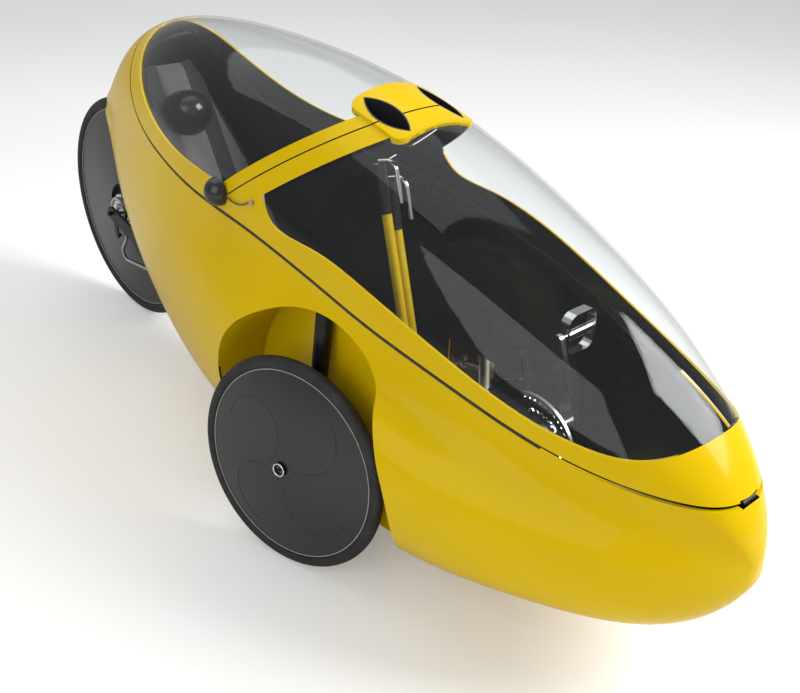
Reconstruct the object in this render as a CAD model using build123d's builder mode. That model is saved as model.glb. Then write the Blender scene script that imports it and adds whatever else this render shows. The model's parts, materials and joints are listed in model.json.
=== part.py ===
# Velomobile: a three-wheeled pedal car with a moulded shell and a clear canopy.
# Frame: +X forward, +Y left, +Z up. The origin is on the ground, at the middle of the overall length.
# Lengths are in millimetres. It is parked with its front wheels turned a little to the left.
import math
import os

from build123d import *

os.makedirs("parts", exist_ok=True)

# Driving sizes of the whole vehicle
overall_length = 2400.0
wheelbase = 1200.0
half_track = 335.0
front_wheel_radius = 234.0
rear_wheel_radius = 325.0
camber = 5.6
parked_steer = 12.3
kingpin_offset = 70.0
kingpin_half_track = half_track - kingpin_offset
front_tyre_radius = 14.0

# Clearances and overrun shared by all pieces
overrun = 30.0
fit_clearance = 0.2
running_clearance = 0.3
moving_clearance = 6.0

rear_axle_x = rear_wheel_radius - overall_length / 2
front_axle_x = rear_axle_x + wheelbase
nose_x = overall_length / 2

# Hull: a smooth shell lofted through egg-shaped sections, with flared flanks over the front wheels
hull_length = 2095.0
hull_height = 976.0
hull_half_width = 378.0
hull_wall = 5.0
# Columns: place back from the nose as a share of hull_length, floor height as a share of hull_height,
# floor half width and flank half width as shares of hull_half_width, flank height as a share of
# hull_height, shoulder half width, shoulder height, crown height
hull_section_shares = (
    (0.0005, 0.322, 0.008, 0.042, 0.343, 0.034, 0.356, 0.378),
    (0.0170, 0.250, 0.040, 0.200, 0.322, 0.150, 0.422, 0.465),
    (0.0455, 0.195, 0.090, 0.380, 0.310, 0.272, 0.462, 0.545),
    (0.1075, 0.154, 0.190, 0.620, 0.312, 0.460, 0.500, 0.655),
    (0.2030, 0.123, 0.330, 0.845, 0.345, 0.605, 0.545, 0.770),
    (0.2985, 0.102, 0.440, 0.962, 0.405, 0.672, 0.588, 0.857),
    (0.3940, 0.092, 0.490, 0.990, 0.455, 0.697, 0.630, 0.927),
    (0.4895, 0.092, 0.460, 0.942, 0.445, 0.697, 0.670, 0.971),
    (0.5820, 0.102, 0.380, 0.845, 0.410, 0.672, 0.703, 0.991),
    (0.7045, 0.125, 0.270, 0.665, 0.395, 0.585, 0.735, 0.995),
    (0.8235, 0.205, 0.170, 0.475, 0.430, 0.435, 0.745, 0.963),
    (0.9200, 0.355, 0.115, 0.300, 0.500, 0.270, 0.705, 0.865),
    (1.0000, 0.575, 0.060, 0.130, 0.630, 0.110, 0.665, 0.705),
)

# The line in side view on which the canopy lies on the tub, from ahead of the nose to above the tail:
# place back from the nose and height, as shares of hull_length and hull_height
seam_shares = (
    (-0.0150, 0.4740),
    (0.0760, 0.4890),
    (0.2325, 0.5555),
    (0.3790, 0.6200),
    (0.5330, 0.6730),
    (0.6300, 0.6830),
    (0.7300, 0.7080),
    (0.8000, 0.7530),
    (0.8480, 0.8500),
    (0.8690, 0.9500),
    (0.8760, 1.0400),
)
seam_gap = 8.0
# Lower edge of the front window, and of the rear one
front_window_shares = (
    (0.0430, 0.6300),
    (0.0560, 0.5720),
    (0.0880, 0.5420),
    (0.1250, 0.5440),
    (0.2370, 0.6000),
    (0.3500, 0.6720),
    (0.4250, 0.7000),
    (0.4680, 0.7040),
    (0.4840, 0.7130),
    (0.4990, 0.7420),
    (0.5050, 0.7800),
)
rear_window_shares = (
    (0.8450, 1.0200),
    (0.8390, 0.9350),
    (0.8180, 0.8720),
    (0.7840, 0.8180),
    (0.7390, 0.7760),
    (0.6750, 0.7470),
    (0.6200, 0.7400),
    (0.5600, 0.7370),
    (0.3800, 0.7350),
)
pane_gap = 0.3

# Arch between the two canopy halves: a flat plane that leans forward
arch_foot_x_share = 0.576
arch_foot_z_share = 0.700
arch_lean = 35.0
arch_gap = 3.0
arch_front_band = 40.0
arch_rear_band = 28.0

# Raised pad on top of the arch, with two almond air ducts
duct_pad_rise = 6.0
duct_pad_half_width = 104.0
duct_pad_ahead = 76.0
duct_pad_behind = 80.0
duct_length = 132.0
duct_width = 44.0
duct_offset = 71.0
duct_wall = 3.0
duct_depth = 34.0
duct_pad_corner = 24.0
duct_top_height = 903.0

# Front wheel arches and the wells inside them
arch_radius = 284.0
arch_centre_height = 288.0
arch_centre_ahead = 38.0
well_wall = 4.0
well_inner_half_gap = 214.0
well_window_length = 150.0
well_window_low = 118.0
well_window_high = 300.0

# Rear wheel slot and housing
rear_slot_half_width = 42.0
rear_slot_clearance = 9.0
tail_opening_half_width = 82.0
tail_opening_height = 520.0
tail_opening_ahead = 350.0
housing_wall = 3.0
housing_side_depth = 150.0
housing_foot_length = 75.0
housing_foot_height = 16.0
housing_start = -20.0
housing_sweep = 100.0

# Nose hinge of the canopy
hinge_x_share = 0.0240
hinge_z_share = 0.4745
hinge_pin_radius = 2.5
hinge_knuckle_radius = 5.5
hinge_half_width = 18.0
hinge_leaf_depth = 12.0
hinge_leaf_length = 26.0
shaft_clearance = 0.08

# Lift knobs at the canopy's rear corners, each with a pin on a short lanyard
knob_x_share = 0.574
knob_z_share = 0.723
knob_radius = 31.0
knob_stand_off = 5.0
knob_stem_radius = 8.0
pin_ahead = 124.0
pin_below = -14.0
pin_radius = 5.0
pin_rise = 6.0
lanyard_radius = 1.8
lanyard_sag = 12.0
lanyard_out = 3.0

# Front wheels: tyre, rim, domed cover and hub
front_rim_half_width = 11.0
front_rim_radius = 216.0
front_rim_depth = 6.0
front_cover_bore = 16.0
front_cover_edge = 9.0
front_cover_crown = 34.0
front_cover_back = 16.0
front_cover_bulge = 5.0
hub_half_length = 40.0
hub_back = 22.0
stub_radius = 8.0
stub_bore_radius = 5.0
stub_bore_depth = 30.0

# Knuckles: kingpin post, brake plate and steering arm
post_radius = 15.0
post_above = 92.0
post_below = 52.0
brake_plate_radius = 46.0
brake_plate_thickness = 7.0
brake_plate_gap = 3.0
steer_arm_length = 60.0
steer_arm_radius = 7.0
eye_height = 15.0
eye_thickness = 8.0
eye_outer_radius = 9.0
link_pin_radius = 4.0
tie_rod_radius = 5.0
open_eye_radius = 11.0
open_eye_outer_radius = 14.5
rod_step = 6.0

# Struts over the knuckles and the arms below them
strut_radius = 18.0
strut_length = 290.0
strut_cap_radius = 26.0
lower_arm_radius = 8.0
lower_arm_spread = 62.0
lower_arm_inner = 120.0
ball_joint_radius = 14.0
ball_joint_height = 20.0
subframe_width = 50.0
subframe_height = 44.0
subframe_side_width = 45.0
subframe_spine_half = 22.0
front_plate_thickness = 8.0
rear_plate_thickness = 6.0
chain_slot_half = 12.0
subframe_foot = 30.0

# Steering column, its base, the grips and the brake levers
column_lean = 15.6
column_foot_ahead = 62.0
column_foot_height = 194.0
column_radius = 11.0
column_pair_gap = 5.0
column_right_length = 460.0
column_left_length = 420.0
column_base_radius = 17.0
column_base_length = 60.0
pitman_height = 36.0
grip_radius = 13.2
grip_length = 105.0
lever_radius = 4.5
lever_reach = 42.0
lever_drop = 88.0

# Pedal drive
bottom_bracket_ahead = 405.0
bottom_bracket_height = 372.0
crank_length = 170.0
crank_angle = 109.0
crank_thickness = 12.0
crank_inner_half = 62.0
crank_big_radius = 17.0
crank_small_radius = 13.0
spindle_radius = 9.0
bracket_shell_radius = 21.0
bracket_shell_half = 36.0
boom_radius = 19.0
boom_foot_ahead = 75.0
boom_foot_height = 152.0
chain_line = 48.0
ring_thickness = 3.0
outer_ring_teeth = 48
inner_ring_teeth = 34
tooth_pitch = 12.7
tooth_depth = 4.0
ring_spacing = 7.0
ring_band = 12.0
spider_arms = 5
spider_arm_width = 16.0
pedal_spindle_radius = 5.0
pedal_gap = 10.0
pedal_width = 92.0
pedal_length = 96.0
pedal_thickness = 22.0
pedal_wall = 6.0
pedal_corner = 26.0
pedal_body_radius = 11.0

# Front derailleur on its post
post_foot_ahead = 372.0
post_foot_height = 346.0
post_top_ahead = 326.0
post_top_height = 522.0
derailleur_post_radius = 7.0
cage_low_turn = 18.0
cage_middle_turn = 38.0
cage_high_turn = 60.0
cage_low_radius = 94.0
cage_high_radius = 134.0
cage_bolt_radius = 3.0
derailleur_link_radius = 5.5
derailleur_clamp_radius = 12.0
derailleur_clamp_half = 9.0
cage_gap = 14.0
cage_thickness = 1.5

# Chain loop, its guide tubes and the rear cluster
chain_half_height = 4.0
chain_width = 7.0
chain_clearance = 0.6
chain_bend_radius = 60.0
front_bend_ahead = -120.0
drive_bend_ahead = -25.0
rear_bend_ahead = -565.0
drive_run_height = 166.0
return_run_height = 132.0
return_lift_height = 216.0
cluster_teeth = (13, 17, 21, 25)
cluster_spacing = 6.0
pulley_radius = 18.0
pulley_thickness = 5.0
pulley_plate_gap = 10.0
pulley_plate_thickness = 2.0
pulley_plate_edge = 7.0
hanger_radius = 9.0
hanger_thickness = 4.0
sprocket_thickness = 2.0
cluster_body_radius = 18.0
upper_pulley_drop = 70.0
upper_pulley_ahead = 8.0
lower_pulley_drop = 124.0
lower_pulley_ahead = 24.0
guide_wall = 2.0
guide_bore = 6.5
guide_clip_inset = 20.0
guide_clip_length = 12.0

# Rear wheel, swing arm and damper
rear_tyre_radius = 17.0
rear_rim_half_width = 12.0
rear_rim_radius = 303.0
rear_rim_depth = 8.0
rear_cover_edge = 10.0
rear_cover_crown = 34.0
rear_recess_radius = 78.0
rear_recess_depth = 16.0
rear_hub_radius = 26.0
rear_hub_half = 40.0
rear_shaft_radius = 6.0
rear_axle_half = 84.0
swing_blade_inner = 66.0
swing_blade_thickness = 8.0
swing_pivot_x = -520.0
swing_pivot_height = 236.0
swing_tube_radius = 9.0
swing_boss_radius = 20.0
bracket_plate_inner = 28.0
bracket_plate_thickness = 6.0
bracket_length = 70.0
damper_radius = 20.0
damper_eye_radius = 11.0
damper_eye_half = 9.0
damper_pin_radius = 4.0
damper_rod_radius = 7.0
damper_low_x = -400.0
damper_low_height = 226.0
damper_high_x = -508.0
damper_high_height = 304.0
damper_lug_thickness = 5.0

# Seat shell, pad and harness
seat_points = ((-345.0, 246.0), (-490.0, 180.0), (-585.0, 214.0), (-800.0, 520.0), (-965.0, 792.0))
seat_bend_radius = 80.0
seat_outline = ((172.0, 60.0), (172.0, 420.0), (150.0, 570.0), (92.0, 770.0), (60.0, 840.0))
seat_shell_thickness = 6.0
seat_pad_thickness = 28.0
seat_pad_margin = 12.0
strap_thickness = 3.0
strap_width = 46.0
strap_offset = 62.0
strap_low_height = 330.0
seat_rail_thickness = 10.0
seat_rail_offset = 118.0
seat_rail_start = -395.0
seat_rail_length = 200.0


def hull_x(share):
    return nose_x - share * hull_length


def hull_z(share):
    return share * hull_height


def side_point(shares):
    return (hull_x(shares[0]), hull_z(shares[1]))


def hull_section(row, inset):
    """One cross-section of the hull, drawn inset by a wall."""
    middle = hull_x(0.5)
    scale = (hull_length / 2 - inset) / (hull_length / 2)
    x = middle + (hull_x(row[0]) - middle) * scale
    floor_z = hull_z(row[1]) + inset
    floor_half = row[2] * hull_half_width
    flank = (row[3] * hull_half_width - inset, hull_z(row[4]))
    shoulder = (row[5] * hull_half_width - inset, hull_z(row[6]))
    crown_z = hull_z(row[7]) - inset
    waist = ((flank[0] + shoulder[0]) / 2, (flank[1] + shoulder[1]) / 2)
    with BuildSketch(Plane((x, 0, 0), x_dir=(0, 1, 0), z_dir=(1, 0, 0))) as section:
        with BuildLine():
            Line((0, floor_z), (floor_half, floor_z))
            EllipticalCenterArc(
                (floor_half, flank[1]), flank[0] - floor_half, flank[1] - floor_z,
                start_angle=270, arc_size=90,
            )
            TangentArc(flank, waist, tangent=(0, 1))
            TangentArc(shoulder, waist, tangent=(0, -1))
            EllipticalCenterArc((0, shoulder[1]), shoulder[0], crown_z - shoulder[1], arc_size=90)
            mirror(about=Plane.YZ)
        make_face()
    return section.sketch.face()


def hull_solid(inset):
    """The hull as one closed loft, its walls moved inwards by the inset."""
    with BuildPart() as hull:
        loft([hull_section(row, inset) for row in hull_section_shares])
    return hull.part


def seam_line(shift):
    """The seam's points in side view, moved square to the line by the shift."""
    points = [Vector(*side_point(shares)) for shares in seam_shares]
    last = len(points) - 1
    moved = []
    for index, point in enumerate(points):
        run = (points[min(index + 1, last)] - points[max(index - 1, 0)]).normalized()
        moved.append((point.X + run.Y * shift, point.Y - run.X * shift))
    return moved


def seam_side(shift, below):
    """Everything below or above the seam, as a block across the whole width."""
    line = seam_line(shift)
    ahead = nose_x + overrun
    far_low = -overrun
    with BuildPart() as block:
        with BuildSketch(Plane.XZ):
            with BuildLine():
                Spline(*line)
                if below:
                    Polyline(line[-1], (-nose_x, line[-1][1]), (-nose_x, far_low), (ahead, far_low), line[0])
                else:
                    Polyline(line[-1], (line[0][0], line[-1][1]), line[0])
            make_face()
        extrude(amount=hull_half_width + overrun, both=True)
    return block.part


def wheel_frame(side):
    """Centre, axle direction and forward direction of a front wheel, turned as it is parked."""
    lean = math.radians(camber)
    kingpin = Vector(0, -side * math.sin(lean), math.cos(lean))
    straight = Vector(0, side * math.cos(lean), math.sin(lean))
    axle = straight.rotate(Axis((0, 0, 0), kingpin), parked_steer)
    forward = Vector(1, 0, 0).rotate(Axis((0, 0, 0), kingpin), parked_steer)
    ground = front_tyre_radius + (front_wheel_radius - front_tyre_radius) * math.sqrt(1 - axle.Z**2)
    pin = Vector(front_axle_x, side * kingpin_half_track, ground - kingpin_offset * axle.Z)
    return pin, kingpin, pin + axle * kingpin_offset, axle, forward


outer_hull = hull_solid(0)
inner_hull = hull_solid(hull_wall)
with BuildPart() as hull_shell:
    add(outer_hull)
    add(inner_hull, mode=Mode.SUBTRACT)

pieces = {}


def finish(name, part):
    """Label a finished piece and write it."""
    part.label = name
    export_step(part, f"parts/{name}.step")
    pieces[name] = part

side_names = ((1, "left"), (-1, "right"))
arch_centre = (front_axle_x + arch_centre_ahead, arch_centre_height)
side_plane = Plane.XZ
well_depth = hull_half_width + overrun - well_inner_half_gap


def arch_outline(side, distance, grow):
    """A front wheel arch in side view, at a distance out: round, and open straight down behind the wheel."""
    with BuildSketch(side_plane.offset(-side * distance)) as outline:
        with Locations(arch_centre):
            Circle(arch_radius + grow)
            Rectangle(arch_radius + grow, arch_centre_height + overrun, align=(Align.MAX, Align.MAX))
    return outline.sketch


# Tub: the lower half of the shell, open over the wheels
with BuildPart() as body_tub:
    add(hull_shell.part)
    add(seam_side(-seam_gap / 2, True), mode=Mode.INTERSECT)
    for side, name in side_names:
        extrude(arch_outline(side, well_inner_half_gap, 0), amount=well_depth, dir=(0, side, 0),
                mode=Mode.SUBTRACT)
    with BuildSketch(side_plane):
        with Locations((rear_axle_x, rear_wheel_radius)):
            Circle(rear_wheel_radius + rear_slot_clearance)
            with Locations((0, -rear_wheel_radius / 2)):
                Rectangle(2 * (rear_wheel_radius + rear_slot_clearance), rear_wheel_radius)
    extrude(amount=rear_slot_half_width, both=True, mode=Mode.SUBTRACT)
    with BuildSketch(side_plane):
        with Locations((rear_axle_x + tail_opening_ahead, 0)):
            Rectangle(2 * hull_half_width + hull_length, tail_opening_height, align=(Align.MAX, Align.MIN))
    extrude(amount=tail_opening_half_width, both=True, mode=Mode.SUBTRACT)

# Canopy: the upper half of the shell, parted at the arch
arch_foot = (hull_x(arch_foot_x_share), hull_z(arch_foot_z_share))
lean_cos = math.cos(math.radians(arch_lean))
lean_sin = math.sin(math.radians(arch_lean))
arch_plane = Plane((arch_foot[0], 0, arch_foot[1]), x_dir=(lean_cos, 0, lean_sin), z_dir=(0, -1, 0))


def arch_side(start, front):
    """Everything on one side of the arch, from a distance off its plane."""
    sign = -1 if front else 1
    align = Align.MAX if front else Align.MIN
    with BuildPart() as block:
        with BuildSketch(arch_plane):
            with Locations((0, sign * start)):
                Rectangle(2 * overall_length, overall_length, align=(Align.CENTER, align))
        extrude(amount=hull_half_width + overrun, both=True)
    return block.part


def window_block(shares, start, front):
    """A window's outline in side view, carried across the whole width."""
    points = [side_point(pair) for pair in shares]
    with BuildPart() as block:
        with BuildSketch(Plane.XZ):
            with BuildLine():
                Spline(*points)
                top = max(points[0][1], points[-1][1], hull_height) + overrun
                Polyline(points[-1], (points[-1][0], top), (points[0][0], top), points[0])
            make_face()
        extrude(amount=hull_half_width + overrun, both=True)
        add(arch_side(start, front), mode=Mode.INTERSECT)
    return block.part


# Front wheel wells: drums inside the shell, open at the arch, with a window for the suspension
with BuildPart() as well_limit:
    add(inner_hull)
    add(seam_side(-seam_gap / 2, True), mode=Mode.INTERSECT)


def wheel_well(side):
    """One drum inside the shell, open at the arch, with a window for the suspension."""
    with BuildPart() as well:
        extrude(arch_outline(side, well_inner_half_gap - well_wall, well_wall),
                amount=well_depth + well_wall, dir=(0, side, 0))
        extrude(arch_outline(side, well_inner_half_gap, 0),
                amount=well_depth + overrun, dir=(0, side, 0), mode=Mode.SUBTRACT)
        with BuildSketch(side_plane.offset(-side * (well_inner_half_gap - overrun))):
            with Locations((front_axle_x, well_window_low)):
                Rectangle(
                    well_window_length, well_window_high - well_window_low,
                    align=(Align.CENTER, Align.MIN),
                )
        extrude(amount=-side * 2 * overrun, mode=Mode.SUBTRACT)
        add(well_limit.part, mode=Mode.INTERSECT)
    return well.part


with BuildPart() as wheel_wells:
    for side, name in side_names:
        add(wheel_well(side))
finish("wheel_wells", wheel_wells.part)

# Air duct pad on top of the arch, and the almond ducts in it
duct_top_x = arch_foot[0] + (duct_top_height - arch_foot[1]) / math.tan(math.radians(arch_lean))


def almond(grow):
    """Two almond outlines in plan, one for each duct, grown by a margin."""
    half_length = duct_length / 2 + grow
    half_width = duct_width / 2 + grow
    with BuildSketch(Plane.XY) as outline:
        with Locations((duct_top_x, duct_offset), (duct_top_x, -duct_offset)):
            with BuildSketch(mode=Mode.PRIVATE) as leaf:
                with BuildLine():
                    ThreePointArc((-half_length, 0), (0, half_width), (half_length, 0))
                    ThreePointArc((half_length, 0), (0, -half_width), (-half_length, 0))
                make_face()
            add(leaf.sketch)
    return outline.sketch


raised_hull = outer_hull.moved(Location((0, 0, duct_pad_rise)))
duct_floor = duct_top_height - duct_depth
with BuildPart() as duct_pad:
    with BuildSketch(Plane.XY.offset(duct_floor)):
        with Locations((duct_top_x + (duct_pad_ahead - duct_pad_behind) / 2, 0)):
            RectangleRounded(duct_pad_ahead + duct_pad_behind, 2 * duct_pad_half_width, duct_pad_corner)
    extrude(amount=hull_height)
    add(raised_hull, mode=Mode.INTERSECT)
    add(inner_hull, mode=Mode.SUBTRACT)
with BuildPart() as duct_holes:
    add(almond(duct_wall + pane_gap))
    extrude(amount=2 * hull_height)
with BuildPart() as duct_bores:
    add(Plane.XY.offset(duct_floor + duct_wall) * almond(0))
    extrude(amount=hull_height)
with BuildPart() as air_ducts:
    add(Plane.XY.offset(duct_floor) * almond(duct_wall))
    extrude(amount=hull_height)
    add(raised_hull, mode=Mode.INTERSECT)
    add(duct_bores.part, mode=Mode.SUBTRACT)
finish("air_ducts", air_ducts.part)

# Hinge at the nose, on which the whole canopy tilts forward
hinge_point = Vector(hull_x(hinge_x_share), 0, hull_z(hinge_z_share))
across = Vector(0, 1, 0)
upward = Vector(0, 0, 1)


def tube(start, end, radius, bore=0.0):
    """A straight round bar or tube between two points."""
    run = end - start
    with BuildPart() as bar:
        with BuildSketch(Plane(start, z_dir=run)):
            Circle(radius)
            if bore:
                Circle(bore, mode=Mode.SUBTRACT)
        extrude(amount=run.length)
    return bar.part


def across_tube(centre, low, high, radius, bore=0.0):
    """A bar or tube along Y through a centre, from one Y to another."""
    return tube(centre + across * low, centre + across * high, radius, bore)


def side_plate(outline, low, high):
    """A plate cut to an outline in side view, from one Y to another."""
    with BuildPart() as plate:
        with BuildSketch(Plane.XZ.offset(-low)):
            with BuildLine():
                Polyline(*outline, close=True)
            make_face()
        extrude(amount=low - high)
    return plate.part


def wheel_plane(centre, axle, forward):
    """A plane through an axle, its X out along the radius and its Y along the axle."""
    return Plane(centre, x_dir=forward, z_dir=forward.cross(axle))


with BuildPart() as hinge_notch:
    add(across_tube(hinge_point, -hinge_half_width - seam_gap, hinge_half_width + seam_gap,
                    hinge_knuckle_radius + seam_gap / 2))
knuckle_third = hinge_half_width / 3
leaf_back = hinge_point.X - hinge_leaf_depth
with BuildPart() as nose_hinge:
    add(across_tube(hinge_point, -hinge_half_width, hinge_half_width, hinge_pin_radius))
    add(across_tube(hinge_point, -knuckle_third, knuckle_third, hinge_knuckle_radius))
    leaf_low = hinge_point.Z - hinge_leaf_length
    add(side_plate(
        ((leaf_back, hinge_point.Z), (hinge_point.X, hinge_point.Z), (nose_x, leaf_low),
         (leaf_back, leaf_low)),
        -knuckle_third, knuckle_third,
    ) & inner_hull)
finish("nose_hinge", nose_hinge.part)
with BuildPart() as canopy_hinge_leaf:
    leaf_high = hinge_point.Z + hinge_leaf_length / 2
    for low, high in ((-hinge_half_width, -knuckle_third - pane_gap),
                      (knuckle_third + pane_gap, hinge_half_width)):
        add(across_tube(hinge_point, low, high, hinge_knuckle_radius))
        add(side_plate(
            ((leaf_back, hinge_point.Z), (leaf_back, leaf_high), (nose_x, leaf_high),
             (hinge_point.X, hinge_point.Z)),
            low, high,
        ) & inner_hull)
    add(side_plate(
        ((leaf_back, hinge_point.Z + hinge_knuckle_radius + seam_gap), (leaf_back, leaf_high),
         (nose_x, leaf_high),
         (nose_x, hinge_point.Z + hinge_knuckle_radius + seam_gap)),
        -hinge_half_width, hinge_half_width,
    ) & inner_hull)
    add(across_tube(hinge_point, -hinge_half_width, hinge_half_width, hinge_pin_radius + shaft_clearance),
        mode=Mode.SUBTRACT)
finish("canopy_hinge_leaf", canopy_hinge_leaf.part)

finish("body_tub", body_tub.part - hinge_notch.part)
front_window = window_block(front_window_shares, arch_front_band, True)
rear_window = window_block(rear_window_shares, arch_rear_band, False)
with BuildPart() as canopy_shell:
    add(hull_shell.part)
    add(seam_side(seam_gap / 2, False), mode=Mode.INTERSECT)


# Canopy frames and panes, the frames with the duct pad on top of the arch
for end, front, window in (("front", True, front_window), ("rear", False, rear_window)):
    with BuildPart() as canopy_frame:
        add(canopy_shell.part)
        add(window, mode=Mode.SUBTRACT)
        add(duct_pad.part)
        add(arch_side(arch_gap / 2, front), mode=Mode.INTERSECT)
        add(duct_holes.part, mode=Mode.SUBTRACT)
        add(hinge_notch.part, mode=Mode.SUBTRACT)
    finish(f"{end}_canopy_frame", canopy_frame.part)
    with BuildPart() as canopy_window:
        add(canopy_shell.part)
        add(window, mode=Mode.INTERSECT)
        add(duct_pad.part, mode=Mode.SUBTRACT)
    finish(f"{end}_canopy_window", canopy_window.part)

# Lift knobs, lanyards and pins at the canopy's rear corners
knob_place = Vector(hull_x(knob_x_share), 0, hull_z(knob_z_share))
knob_base = hull_section_shares[8][5] * hull_half_width + knob_stand_off


def lift_knob(side):
    """A domed knob standing off the canopy on a short stem."""
    outward = across * side
    knob_foot = knob_place + outward * knob_base
    with BuildPart() as knob:
        with Locations(knob_foot):
            Sphere(knob_radius)
        add(tube(knob_foot, knob_foot + outward * 2 * knob_radius, 2 * knob_radius), mode=Mode.INTERSECT)
        add(tube(knob_foot - outward * 2 * knob_stem_radius, knob_foot + outward * knob_stem_radius,
                 knob_stem_radius) - outer_hull)
    return knob.part


with BuildPart() as lift_knobs:
    for side, name in side_names:
        add(lift_knob(side))
finish("lift_knobs", lift_knobs.part)
pin_place = knob_place + Vector(pin_ahead, 0, -pin_below)
with BuildPart() as lock_pins:
    for side, name in side_names:
        start = pin_place + across * side * (knob_base - knob_stand_off - pin_rise)
        add(tube(start, pin_place + across * side * (knob_base + pin_rise), pin_radius) - outer_hull)
finish("lock_pins", lock_pins.part)

# Front wheels and what carries them
frames = {name: wheel_frame(side) for side, name in side_names}


def turned(plane, outline):
    """A ring turned about the plane's Y axis from a closed outline of radius and width."""
    with BuildPart() as ring:
        with BuildSketch(plane):
            with BuildLine():
                Polyline(*outline, close=True)
            make_face()
        revolve(axis=Axis(plane.origin, plane.y_dir))
    return ring.part


def tyre_ring(plane, outer_radius, section_radius, seat_radius, seat_half_width):
    """A tyre of round section, seated over its rim."""
    with BuildPart() as tyre:
        with BuildSketch(plane):
            with Locations((outer_radius - section_radius, 0)):
                Circle(section_radius)
            Rectangle(2 * seat_radius, 2 * seat_half_width, mode=Mode.SUBTRACT)
        revolve(axis=Axis(plane.origin, plane.y_dir))
    return tyre.part


def rim_ring(plane, radius, depth, half_width):
    return turned(plane, (
        (radius - depth, -half_width), (radius, -half_width), (radius, half_width),
        (radius - depth, half_width),
    ))


for side, name in side_names:
    pin, kingpin, centre, axle, forward = frames[name]
    plane = wheel_plane(centre, axle, forward)
    finish(f"front_tyre_{name}", tyre_ring(
        plane, front_wheel_radius, front_tyre_radius, front_rim_radius, front_rim_half_width))
    finish(f"front_rim_{name}", rim_ring(plane, front_rim_radius, front_rim_depth, front_rim_half_width))
    cover_radius = front_rim_radius - front_rim_depth
    with BuildPart() as front_cover:
        with BuildSketch(plane):
            with BuildLine():
                outer_arc = ThreePointArc(
                    (front_cover_bore, front_cover_crown),
                    ((front_cover_bore + cover_radius) / 2,
                     (front_cover_crown + front_cover_edge) / 2 + front_cover_bulge),
                    (cover_radius, front_cover_edge),
                )
                Polyline((cover_radius, front_cover_edge), (cover_radius, -front_cover_edge),
                         (front_cover_bore, -front_cover_back), (front_cover_bore, front_cover_crown))
            make_face()
        revolve(axis=Axis(plane.origin, plane.y_dir))
    finish(f"front_cover_{name}", front_cover.part)
    finish(f"front_hub_{name}", tube(
        centre - axle * hub_back, centre + axle * hub_half_length, front_cover_bore,
        stub_radius + shaft_clearance))

    eye_centre = pin + kingpin * eye_height - forward * steer_arm_length
    with BuildPart() as knuckle:
        add(tube(pin - kingpin * post_below, pin + kingpin * post_above, post_radius))
        add(tube(pin, centre + axle * (hub_half_length - stub_radius / 2), stub_radius))
        plate_face = centre - axle * (hub_back + brake_plate_gap)
        add(tube(plate_face - axle * brake_plate_thickness, plate_face, brake_plate_radius))
        arm_tip = pin - forward * steer_arm_length
        add(tube(pin, arm_tip, steer_arm_radius))
        add(tube(arm_tip, eye_centre + kingpin * eye_thickness, link_pin_radius))
        add(tube(arm_tip - kingpin * eye_thickness, arm_tip + kingpin * eye_thickness, eye_outer_radius))
        add(tube(centre + axle * (hub_half_length - stub_bore_depth), centre + axle * hub_half_length,
                 stub_bore_radius), mode=Mode.SUBTRACT)
    finish(f"knuckle_{name}", knuckle.part)


def strut(side):
    """The tube over a knuckle, its cap trimmed to the roof and the inner wall of the well."""
    pin, kingpin, centre, axle, forward = wheel_frame(side)
    strut_foot = pin + kingpin * (post_above + running_clearance)
    strut_head = strut_foot + kingpin * strut_length
    with BuildPart() as upright:
        add(tube(strut_foot, strut_head, strut_radius))
        add(tube(strut_head - kingpin * 2 * strut_cap_radius, strut_head, strut_cap_radius))
        with BuildSketch(side_plane.offset(-side * (well_inner_half_gap + pane_gap))):
            with Locations(arch_centre):
                Circle(arch_radius - pane_gap)
        extrude(amount=-side * well_depth, mode=Mode.INTERSECT)
    return upright.part


with BuildPart() as struts:
    for side, name in side_names:
        add(strut(side))
finish("struts", struts.part)

# Subframe across the floor: the lower arms, the pedal boom and the steering column stand on it
arm_height = (frames["left"][0] - frames["left"][1] * (post_below + ball_joint_height / 2)).Z
column_tilt = math.radians(column_lean)
column_foot = Vector(front_axle_x + column_foot_ahead, 0, column_foot_height)
column_up = Vector(-math.sin(column_tilt), 0, math.cos(column_tilt))
bracket = Vector(front_axle_x + bottom_bracket_ahead, 0, bottom_bracket_height)
boom_foot = Vector(front_axle_x + boom_foot_ahead, 0, boom_foot_height)
frame_low = arm_height - subframe_height / 2
frame_back = front_axle_x - lower_arm_spread - subframe_width / 2
frame_front = front_axle_x + lower_arm_spread + subframe_width / 2


def upright_box(back, front, low_y, high_y, low, high):
    """A box given by its ends along each axis."""
    with BuildPart() as block:
        with Locations((back, low_y, low)):
            Box(front - back, high_y - low_y, high - low, align=(Align.MIN, Align.MIN, Align.MIN))
    return block.part


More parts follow.
